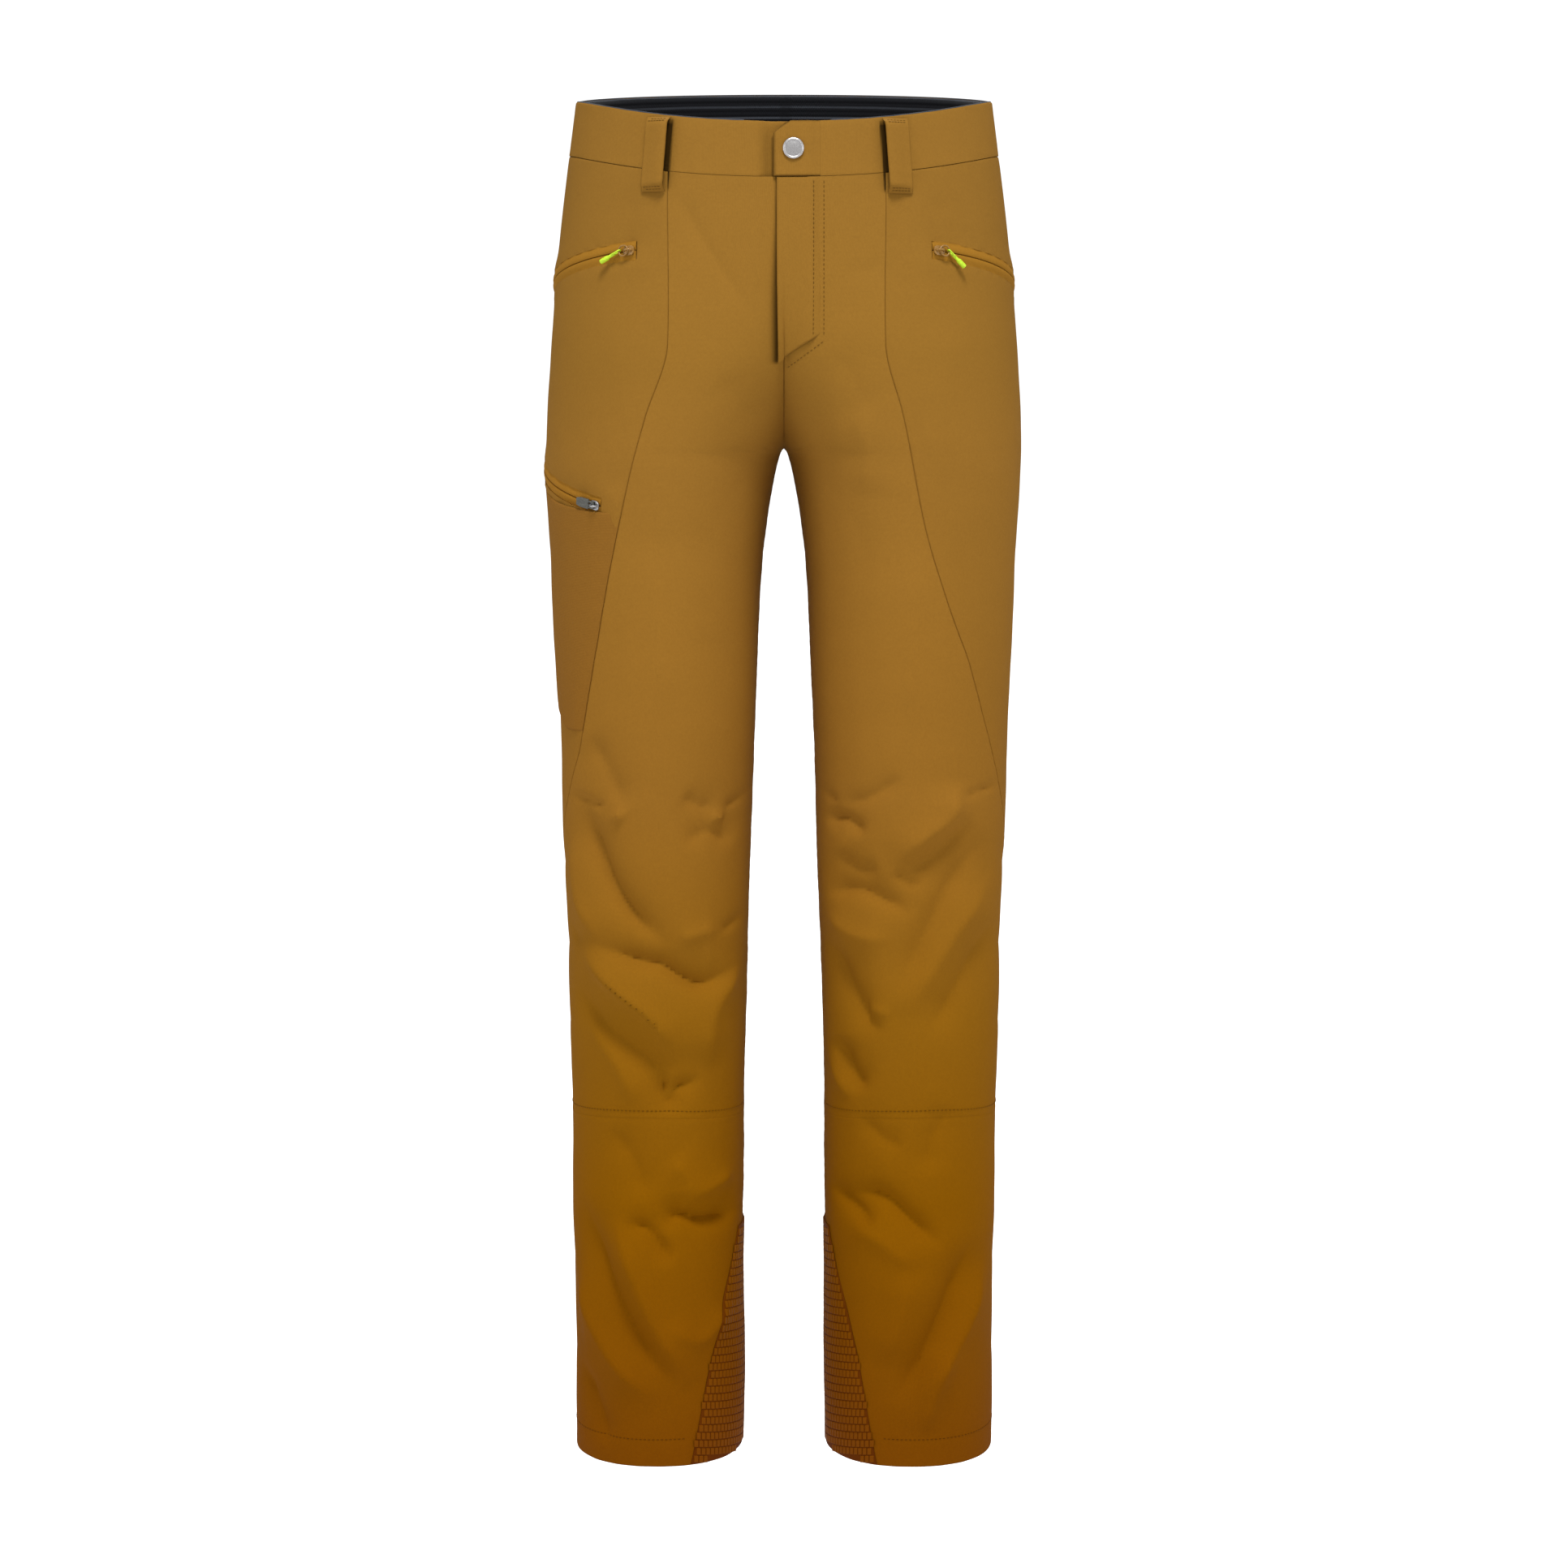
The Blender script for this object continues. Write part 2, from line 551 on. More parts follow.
def wovenCloth(name, look):
    material, tree, shader = newMaterial(name, Roughness=look["roughness"], Sheen_Weight=look["sheen"],
                                         Sheen_Roughness=0.45, Specular_IOR_Level=0.04)
    place = addNode(tree, "TexCoord")
    split = addNode(tree, "SeparateXYZ", [(0, place.outputs["Object"])])
    height = spread(tree, split.outputs["Z"], 0, 1, From_Min=0, From_Max=hemZ)
    tinted = [(at, [c * look["tint"] * h for c, h in zip(colour, look["hue"])]) for at,
              colour in look["colours"]]
    dye = colourRamp(tree, height, tinted)
    patchy = spread(tree, noise(tree, place, *look["cloud"]), 1 - look["patchy"], 1 + look["patchy"])
    specked = spread(tree, noise(tree, place, *look["fleck"]), 0.9, 1.1)
    # the weave: warp and weft ribs
    warp, weft = (ribs(tree, place, direction, look["thread"], Distortion=0.6, Detail=1) for direction in "XY")
    weave = times(tree, warp, weft)
    yarn = spread(tree, weave, 0.93, 1.07)
    # darker where an edge is turned under or cloth lies tight against another piece
    tucked = addNode(tree, "Attribute")
    tucked.attribute_name = "tuck"
    shaded = spread(tree, tucked.outputs["Fac"], 1, look["tuckTone"])
    tone = times(tree, times(tree, times(tree, patchy, specked), yarn), shaded)
    colour = addNode(tree, "VectorMath")
    colour.operation = "SCALE"
    tree.links.new(dye, colour.inputs[0])
    tree.links.new(tone, colour.inputs["Scale"])
    tree.links.new(colour.outputs[0], shader.inputs["Base Color"])
    threads = bumpFrom(tree, weave, look["bump"], look["thread"] * 0.35)
    crumple = bumpFrom(tree, noise(tree, place, *look["rumple"]), 0.25, 0.0012, ("Normal", threads))
    tree.links.new(crumple, shader.inputs["Normal"])
    return material


clothLook = {"colours": inkSteps, "tint": 1.0, "roughness": 0.88, "sheen": 0.0, "patchy": 0.05,
             "thread": 0.0007, "bump": 0.35,
             "tuckTone": 0.10, "hue": (1, 1, 1),
             "cloud": (9, 5), "fleck": (620, 2), "rumple": (55, 3)}  # noise scale and detail
cloths = {
    "main_cloth": wovenCloth("ochreSoftshell", clothLook),
    "side_cloth": wovenCloth("ochreSideCloth", {**clothLook, "tint": 0.97}),
    "pocket_cloth": wovenCloth("ochrePocketCloth",
                               {**clothLook, "tint": 0.86, "hue": (1, 0.95, 1), "thread": 0.0009}),
    "lower_cloth": wovenCloth("ochreShinCloth", clothLook),
    "guard_cloth": wovenCloth("scuffGuardCloth",
                              {**clothLook, "tint": 0.62, "hue": (1, 0.72, 1), "thread": 0.0008,
                               "roughness": 0.7}),
    "zip_tape": wovenCloth("zipTapeCloth",
                           {**clothLook, "tint": 1.12, "hue": (1, 0.95, 0.7), "thread": 0.0006}),
    "lining": wovenCloth("greyLining",
                         {**clothLook, "colours": [(0, (0.20, 0.17, 0.13)), (1, (0.18, 0.15, 0.11))],
                          "thread": 0.001}),
}
blockLook = wovenCloth("scuffGuardBlocks",
                       {**clothLook, "tint": 0.95, "hue": (1, 0.9, 1), "thread": 0.0008, "roughness": 0.62})
threadLook = wovenCloth("topstitchThread", {**clothLook, "tint": 0.5, "thread": 0.0003, "roughness": 0.6})


def ribbedElastic(name, look):
    material, tree, shader = newMaterial(name, Roughness=0.8, Sheen_Weight=0.05, Specular_IOR_Level=0.2)
    place = addNode(tree, "TexCoord")
    lines = ribs(tree, place, "Y", look["lineStep"], Distortion=0.15)
    knit = ribs(tree, place, "X", look["knitStep"])
    tree.links.new(bumpFrom(tree, knit, 0.6, 0.0004), shader.inputs["Normal"])
    thin = colourRamp(tree, lines, [(0.86, look["navy"]), (0.96, look["grey"])])
    tree.links.new(thin, shader.inputs["Base Color"])
    return material


cloths["elastic"] = ribbedElastic("navyElastic",
                                  {"lineStep": 0.0085, "knitStep": 0.0011, "navy": (0.0035, 0.0042, 0.0065),
                                   "grey": (0.05, 0.056, 0.068)})


def hardFinish(name, look):
    material, tree, shader = newMaterial(name, Metallic=look["metallic"], Coat_Weight=look.get("coat", 0),
                                         Specular_IOR_Level=0.5)
    grain = noise(tree, addNode(tree, "TexCoord"), look["grain"], 4)
    tone = colourRamp(tree, grain, [(0.35, look["dark"]), (0.65, look["light"])])
    tree.links.new(tone, shader.inputs["Base Color"])
    worn = spread(tree, grain, look["roughness"] - 0.08, look["roughness"] + 0.08)
    tree.links.new(worn, shader.inputs["Roughness"])
    tree.links.new(bumpFrom(tree, grain, 0.15, 0.0001), shader.inputs["Normal"])
    return material


hardware = {
    "slider_paint": hardFinish("ochreEnamel",
                               {"metallic": 0.1, "coat": 0.1, "grain": 900, "dark": (0.26, 0.13, 0.022),
                                "light": (0.36, 0.18, 0.034), "roughness": 0.42}),
    "cord_pull": hardFinish("neonPull",
                            {"metallic": 0.0, "grain": 700, "dark": (0.45, 0.72, 0.012),
                             "light": (0.62, 0.88, 0.03), "roughness": 0.5}),
    "snap_metal": hardFinish("brushedSnap",
                             {"metallic": 1.0, "grain": 1200, "dark": (0.50, 0.485, 0.485),
                              "light": (0.66, 0.645, 0.645), "roughness": 0.42}),
    "zip_metal": hardFinish("brightZipMetal",
                            {"metallic": 1.0, "grain": 1100, "dark": (0.30, 0.30, 0.31),
                             "light": (0.46, 0.46, 0.47), "roughness": 0.36}),
    "tab_plastic": hardFinish("greyTabPlastic",
                              {"metallic": 0.0, "grain": 800, "dark": (0.075, 0.075, 0.066),
                               "light": (0.115, 0.115, 0.10), "roughness": 0.5}),
}
print("finishes made")

# ---- cloth sheets ----
rollLook = {"depth": 0.00085, "width": 0.0016, "near": (0, 0.35, 0.8, 1.4, 2.2, 3.4)}


def edgeShares(length, cell):
    near = np.array(rollLook["near"]) * mm
    if length < 4 * near[-1]:
        return np.linspace(0, 1, max(3, round(length / 0.0015)) + 1)
    count = max(2, round((length - 2 * near[-1]) / cell))
    middle = np.linspace(near[-1], length - near[-1], count + 1)
    return np.concatenate([near[:-1], middle, length - near[:-1][::-1]]) / length


def finerNear(shares, length, reach, cell):
    # extra columns over the first stretch of a sheet, where something lies on it
    first = np.arange(rollLook["near"][-1] * mm, reach, cell) / length
    rest = shares[shares > (reach + 0.3 * cell) / length]
    return np.concatenate([shares[shares < first[0] - 1e-9], first, rest])


def meshPiece(name, points, faces, uvs=None):
    mesh = bpy.data.meshes.new(name)
    mesh.from_pydata(points.tolist() if hasattr(points, "tolist") else points, [], faces)
    if uvs is not None:
        layer = mesh.uv_layers.new(name="weave")
        index = np.zeros(len(mesh.loops), np.int32)
        mesh.loops.foreach_get("vertex_index", index)
        layer.data.foreach_set("uv", np.asarray(uvs, np.float32)[index].ravel())
    piece = bpy.data.objects.new(name, mesh)
    bpy.context.scene.collection.objects.link(piece)
    return piece


def pickOnly(piece):
    bpy.ops.object.select_all(action="DESELECT")
    piece.select_set(True)
    bpy.context.view_layer.objects.active = piece


def startEdit():
    bpy.ops.object.mode_set(mode="EDIT")
    bpy.ops.mesh.select_all(action="SELECT")


def endEdit():
    bpy.ops.object.mode_set(mode="OBJECT")


def smoothFaces(piece, degrees=48):
    pickOnly(piece)
    bpy.ops.object.shade_smooth_by_angle(angle=math.radians(degrees))


def settle(piece, body, slotName, material, *nodes):
    piece.data.materials.clear()
    piece.data.materials.append(material)
    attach(piece, body)
    if nodes:
        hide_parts(*nodes)
    return piece


def constant(value):
    return value if callable(value) else (lambda *_: value)


def sheetGrid(cut):
    # (side, u, z) of a sheet's grid points, with each point's share across and up
    left, right = constant(cut["left"]), constant(cut["right"])
    foot, head = constant(cut["foot"]), constant(cut["head"])
    ring = cut["side"] == 0
    middleZ = cut.get("middleZ", -0.04 if ring else None)
    if middleZ is None:
        middleZ = float((np.max(foot(np.array(0.4))) + np.max(head(np.array(0.4)))) / 2)
    widest = abs(float(right(middleZ)) - float(left(middleZ))) * float(girthPerU(middleZ))
    tall = cut.get("tall") or abs(float(head(np.array(0.3))) - float(foot(np.array(0.3))))
    columns = edgeShares(widest, cut.get("cell", 0.0042))
    if "finer" in cut:
        columns = finerNear(columns, widest, *cut["finer"])
    across, up = np.meshgrid(columns, edgeShares(tall, cut.get("cellUp", cut.get("cell", 0.0042))))
    z = np.full(across.shape, middleZ)
    for _ in range(8):
        raw = left(z) + (right(z) - left(z)) * across
        u = np.where(raw > 1, raw - 2, raw) if ring else raw
        z = foot(u) + (head(u) - foot(u)) * up
    side = np.where(u < 0, -1.0, 1.0) if ring else np.full(u.shape, float(cut["side"]))
    return side, (np.abs(u) if ring else u), z, across, up, widest, tall


def closedSheet(name, outer, inner, uv, flip=False):
    # two grids of points, one behind the other, closed round their border; gives the outer quads as well
    rows, columns = outer.shape[:2]
    count = rows * columns
    grid = np.arange(count).reshape(rows, columns)
    quads = np.stack([grid[:-1, :-1], grid[:-1, 1:], grid[1:, 1:], grid[1:, :-1]], -1).reshape(-1, 4)
    border = np.concatenate([grid[0, :-1], grid[:-1, -1], grid[-1, :0:-1], grid[:0:-1, 0]])
    after = np.roll(border, -1)
    walls = np.stack([border, border + count, after + count, after], -1)
    faces = np.vstack([quads, quads[:, ::-1] + count, walls])
    if flip:
        faces = faces[:, ::-1]
    points = np.vstack([outer.reshape(-1, 3), inner.reshape(-1, 3)])
    return meshPiece(name, points, faces.tolist(), np.vstack([uv, uv])), quads


puckerLook = {"tall": 0.22 * mm, "reach": 0.006}  # the small waves along stitched edges


def clothSheet(name, cut, slotName, body="garment", nodes=()):
    side, u, z, across, up, widest, tall = sheetGrid(cut)
    place, normal = skin(side, u, z), skinNormal(side, u, z)
    thick = cut.get("thick", clothThick)
    face = constant(cut.get("face", 0.0))(place[..., 0], z, across, up) + np.zeros(z.shape)
    push = face + cut.get("relief", 1.0) * relief(side, u, z, place,
                                                  normal) + zipSeat(place, normal, cut.get("zips", ()))
    edges = np.stack([across * widest, (1 - across) * widest, up * tall, (1 - up) * tall])
    edge = edges.min(0)
    depth = cut.get("roll", rollLook["depth"])
    turned = np.array(cut.get("turned", (1, 1, 1, 1)), float)[:, None, None]
    lean = (turned * (1 - np.clip(edges / rollLook["width"], 0, 1))).max(0)
    roll = depth * (1 - np.sqrt(1 - lean ** 2))
    ripple = np.sin(z / 0.0021) * np.sin(z / 0.0037 + 1) + 0.6 * np.sin(place[..., 0] / 0.0027)
    pucker = puckerLook["tall"] * np.exp(-edge / puckerLook["reach"]) * ripple
    push = push + pucker * cut.get("pucker", 1.0)
    outer = place + normal * (push - roll)[..., None]
    inner = place + normal * (push - thick)[..., None]
    if "centre" in cut:  # the centre seam closes on the middle plane above the crotch
        column = cut["centre"]
        middle = (z[:, column] > crotchZ - 0.003) & (np.abs(place[:, column, 0]) < 0.002)
        for layer in (outer, inner):
            layer[middle, column, 0] = -cut["side"] * 0.0003
    lengthwise = up * tall if cut["side"] == 0 else z
    uv = np.stack([u * girthPerU(z) * np.where(side < 0, -1, 1), lengthwise], -1).reshape(-1, 2)
    piece, quads = closedSheet(name, outer, inner, uv, flip=cut["side"] < 0)
    tuck = np.maximum(cut.get("edgeTuck", 0.15) * lean ** 1.3,
                      constant(cut.get("tuck", 0.0))(place[..., 0], z, across, up))
    tuckLayer = piece.data.attributes.new("tuck", "FLOAT", "POINT")
    tuckLayer.data.foreach_set("value", np.concatenate([tuck.ravel(), np.full(z.size, 0.6)]).astype(np.float32))
    smoothFaces(piece)
    settle(piece, body, slotName, cloths[slotName], *nodes)
    return piece


# ---- the zips' tracks ----
zipLook = {
    "sliderStart": 0.0051, "slot": 0.0069,
    "ease": 0.022,  # past each end, where the cloth comes back to the body's shape
    "reach": 0.016,  # to either hand
    "dip": 0.55 * mm, "dipWide": 0.0016,  # at the slot's edge
    "welt": 0.25 * mm, "weltAt": 0.0105, "weltWide": 0.002,  # a low ridge beside it
}


def arcZip(side, start, end):
    # an arc through both ends whose plane holds the skin's normal at the middle
    first, last = (skin(side, np.array(u), np.array(z)) for u, z in (start, end))
    middleU, middleZ = (start[0] + end[0]) / 2, (start[1] + end[1]) / 2
    for _ in range(30):
        normal = skinNormal(side, np.array(middleU), np.array(middleZ))
        plane = unit(np.cross(last - first, normal))
        middleZ -= float((skin(side, np.array(middleU), np.array(middleZ)) - first) @ plane / plane[2]) * 0.7
    m = skin(side, np.array(middleU), np.array(middleZ)) - first
    e = last - first
    plane = np.cross(m, e)
    centre = first + (np.cross(e, plane) * -(m @ m) - np.cross(plane, m) * (e @ e)) / (-2 * plane @ plane)
    outward = first - centre
    radius = float(np.linalg.norm(outward))
    outward = outward / radius
    axis = unit(np.cross(outward, last - centre))
    length = radius * math.acos(float(outward @ (last - centre)) / radius)
    return {"start": first, "off": outward, "along": np.cross(axis, outward), "across": axis,
            "radius": radius, "length": length, "centre": centre}


handEnds = (0.637, -0.43 * rise, 0.545, -0.55 * rise)
thighEnds = (0.755, -1.155 * rise, 0.53, -1.03 * rise)
backZ = -0.47 * rise


def zipFrom(side, ends):
    share, startZ, endU, endZ = ends
    return arcZip(side, (float(frontU(share * outerX(startZ), startZ)), startZ), (endU, endZ))


zips = {
    "hand_zip_right": zipFrom(-1, handEnds),
    "hand_zip_left": zipFrom(1, handEnds),
    "thigh_zip": zipFrom(-1, thighEnds),
    "back_zip": arcZip(-1, (float(backU(0.78 * outerX(backZ), backZ)), backZ),
                       (float(backU(0.22 * outerX(backZ), backZ)), backZ)),
}
flapFootZ = -(shape["frontDip"] + shape["bandHeight"] + 0.118)
flyTopZ = -(shape["frontDip"] + shape["bandHeight"]) - 0.004
flyFootZ = flapFootZ - 0.008
flyEnds = [skin(1, frontU(0.006, z), np.array(z)) + np.array([0, 0.0074, 0]) for z in (flyTopZ, flyFootZ)]
flyAlong = unit(flyEnds[1] - flyEnds[0])
zips["fly_zip"] = {"start": flyEnds[0], "off": np.cross(flyAlong, [1.0, 0, 0]), "along": flyAlong,
                   "across": np.array([1.0, 0, 0]),
                   "radius": 0, "length": float(np.linalg.norm(flyEnds[1] - flyEnds[0]))}


def onTrack(track, off, along, across):
    off, along, across = (np.asarray(v, float)[..., None] for v in (off, along, across))
    if track["radius"]:
        angle = along / track["radius"]
        reach = track["radius"] + off
        flat = (reach * np.cos(angle) - track["radius"]) * track["off"] + reach * np.sin(angle) * track["along"]
    else:
        flat = off * track["off"] + along * track["along"]
    return track["start"] + flat + across * track["across"]


def trackPlace(track, place):
    # off, along and across of points near a curved zip
    rel = place - track["centre"]
    across = rel @ track["across"]
    x, y = rel @ track["off"], rel @ track["along"]
    return np.hypot(x, y) - track["radius"], np.arctan2(y, x) * track["radius"], across


def zipSeat(place, normal, names):
    # cloth next to a zip is drawn onto the zip's arc and dips at the slot's edge
    total = np.zeros(place.shape[:-1])
    for name in names:
        track = zips[name]
        off, along, across = trackPlace(track, place)
        ease = zipLook["ease"]
        inside = smoothStep(along, -ease, -0.004) * smoothStep(track["length"] + ease - along, 0, 0.018)
        away = np.abs(across)
        weight = np.exp(-(away / zipLook["reach"]) ** 3) * inside
        facing = np.einsum("...i,...i", normal, unit(place - track["centre"]))
        total -= weight * off * np.clip(facing, 0, 1) * (facing > 0.3)
        lip = np.exp(-((away - zipLook["slot"]) / zipLook["dipWide"]) ** 2) * smoothStep(along, -0.002, 0.001)
        welt = np.exp(-((away - zipLook["weltAt"]) / zipLook["weltWide"]) ** 2)
        total += (facing > 0.3) * (zipLook["welt"] * welt - zipLook["dip"] * lip) * inside
    return total


def sweepTrack(track, outline, start, end, steps):
    # a closed body: an outline in (off, across), in millimetres, carried along the zip
    alongs = np.linspace(start, end, steps + 1)
    ring = np.array(outline) * mm
    points = onTrack(track, ring[None, :, 0], alongs[:, None], ring[None, :, 1]).reshape(-1, 3)
    n = len(ring)
    faces = []
    for row in range(steps):
        for i in range(n):
            j = (i + 1) % n
            faces.append([row * n + i, row * n + j, (row + 1) * n + j, (row + 1) * n + i])
    faces.append(list(range(n))[::-1])
    faces.append([steps * n + i for i in range(n)])
    uvs = np.stack([np.repeat(alongs, n),
                    np.tile(np.cumsum(np.linalg.norm(np.diff(ring, axis=0, prepend=ring[:1]), axis=1)),
                            steps + 1)], -1)
    return points, faces, uvs


def outwardFaces(piece):
    mesh = bmesh.new()
    mesh.from_mesh(piece.data)
    bmesh.ops.recalc_face_normals(mesh, faces=mesh.faces)
    mesh.to_mesh(piece.data)
    mesh.free()


def zipTapes(name, words, lip):
    track = zips[name]
    steps = max(24, round(track["length"] / 0.003))
    for word, hand in zip(words, (1, -1)):
        outline = [(-1.3, 0.25), (-0.75, 0.22), (-0.2 + lip, 0.5), (0.12 + lip, 1.2), (0.22 + lip, 2.2),
                   (0.1 + lip, 3.4), (-0.1 + lip / 2, 4.6),
                   (-0.35, 5.6), (-0.6, 6.5), (-0.6, 7.4), (-1.3, 7.4)]
        points, faces, uvs = sweepTrack(track, [(off, hand * across) for off, across in outline], 0,
                                        track["length"], steps)
        piece = meshPiece(f"{name}_tape_{word}", points, faces, uvs)
        outwardFaces(piece)
        smoothFaces(piece, 40)
        settle(piece, "garment", "zip_tape", cloths["zip_tape"], f"{name}_tape_{word}")


def slotCutter(name, half):
    track = zips[name]
    points, faces, _ = sweepTrack(track, [(-7, -half), (7, -half), (7, half), (-7, half)], -0.0006,
                                  track["length"] + 0.0006, 40)
    cutter = meshPiece(f"{name}_cutter", points, faces)
    outwardFaces(cutter)
    return cutter


def cutSlot(piece, name):
    cutter = slotCutter(name, zipLook["slot"] * 1000)
    pickOnly(piece)
    slot = piece.modifiers.new("slot", "BOOLEAN")
    slot.operation = "DIFFERENCE"
    slot.solver = "EXACT"
    slot.object = cutter
    bpy.ops.object.modifier_apply(modifier="slot")
    bpy.data.objects.remove(cutter)
    smoothFaces(piece)


# ---- stitches ----
stitchLook = {"length": 0.0024, "wide": 0.00055, "tall": 0.0004, "step": 0.0034}


def makeBead(look):
    bpy.ops.object.select_all(action="DESELECT")
    bpy.ops.mesh.primitive_uv_sphere_add(segments=6, ring_count=4, radius=0.5)
    bead = bpy.context.active_object
    startEdit()
    bpy.ops.transform.resize(value=(look["length"], look["wide"], look["tall"] * 1.6),
                             center_override=(0, 0, 0))
    endEdit()
    points = np.array([v.co for v in bead.data.vertices])
    faces = [list(f.vertices) for f in bead.data.polygons]
    bpy.data.objects.remove(bead)
    return points, faces


bead = makeBead(stitchLook)


def stitchRun(name, body, slotName, lines, step=None, nodes=()):
    # lines: (side, u, z, lift) arrays along each row of stitches
    step = step or stitchLook["step"]
    allPoints, allFaces = [], []
    for side, u, z, lift in lines:
        side = np.broadcast_to(np.asarray(side, float), z.shape)
        place, normal = skin(side, u, z), skinNormal(side, u, z)
        path = place + normal * (lift + relief(side, u, z, place, normal))[..., None]
        gone = np.concatenate([[0], np.cumsum(np.linalg.norm(np.diff(path, axis=0), axis=1))])
        count = max(1, int(gone[-1] / step))
        at = (np.arange(count) + 0.5) * step
        centre = np.stack([np.interp(at, gone, path[:, k]) for k in range(3)], -1)
        ahead = np.stack([np.interp(at + 0.0008, gone,
                                    path[:, k]) - np.interp(at - 0.0008, gone, path[:, k]) for k in range(3)],
                                    -1)
        up = unit(np.stack([np.interp(at, gone, normal[:, k]) for k in range(3)], -1))
        along = unit(ahead)
        aside = unit(np.cross(up, along))
        for c, t, a, n in zip(centre, along, aside, up):
            base = len(allPoints) * len(bead[0])
            allPoints.append(c + bead[0] @ np.array([t, a, n]))
            allFaces += [[i + base for i in face] for face in bead[1]]
    piece = meshPiece(name, np.vstack(allPoints), allFaces)
    smoothFaces(piece, 60)
    settle(piece, body, slotName, threadLook, *nodes)
    return piece


# ---- legs and hips ----
gap = shape["seam"]
sides = {"right": -1, "left": 1}
flapHingeX = 0.027
flapEdgeX = -0.0056


def halfGap(z):
    return uOf(gap, z)


def leftFrontEdge(z):
    slant = np.clip((z - flapFootZ - 0.010) / 0.020 + 1, 0, 1)  # it runs on under the flap's stitched edges
    return np.where(z > crotchZ, frontU(slant * (flapHingeX - 0.005), z), halfGap(z))


def rightFrontEdge(z):
    return np.where(z > crotchZ, frontU(0, z), halfGap(z))


shadeLook = {"loop": 0.97, "flap": 0.85, "tab": 0.85}


def besideEdge(x, edgeX, wide):
    # full shade at a covering edge, fading on both hands
    return np.exp(-(np.maximum(0, edgeX - x) / wide) ** 1.6 - (np.maximum(0, x - edgeX - 0.0006) / 0.0008) ** 2)


def underFlap(x, z):
    # the shaded strip beside the flap's free edge, wider towards its foot
    wide = 0.0007 + 0.0026 * smoothStep(-z, 0.07, 0.17)
    beside = besideEdge(x, flapEdgeX, wide)
    return shadeLook["flap"] * beside * smoothStep(z, flapFootZ - 0.0215, flapFootZ - 0.019)


loopLook = {"wide": 0.018, "long": 0.056, "standOff": 0.0058, "thick": 0.0015, "topGap": 0.002,
            "shadeWide": 0.0036}


def loopU(side):
    seamZ = -0.22 * rise
    return float(frontU(seamShares[side][0][1] * float(outerX(seamZ)) + 0.010, seamZ))


def besideLoop(side, x, z):
    # deep shade where a front belt loop stands off the cloth beneath it
    uAt = loopU(side)
    inward = side * skin(side, uAt - uOf(loopLook["wide"] / 2, z), z)[..., 0] + 0.0012 - side * x
    top = float(rimZ(uAt)) - loopLook["topGap"]
    tallEnough = smoothStep(z, top - loopLook["long"] + 0.001,
                            top - loopLook["long"] + 0.004) * smoothStep(top - z, 0.001, 0.004)
    wide, soft = loopLook["shadeWide"], 0.0006
    beyond = smoothStep(inward, wide - soft, wide + soft)
    return shadeLook["loop"] * tallEnough * smoothStep(inward, -0.010, -0.009) * (1 - beyond)


def frontShade(side):
    def shade(x, z, across, up):
        loop = besideLoop(side, x, z)
        return np.maximum(loop, underFlap(x, z)) if side < 0 else loop
    return shade


def outerEdge(side):
    return lambda z: np.where(z > sidePanelFootZ, frontSeams[side](z), sideSeamU(z))


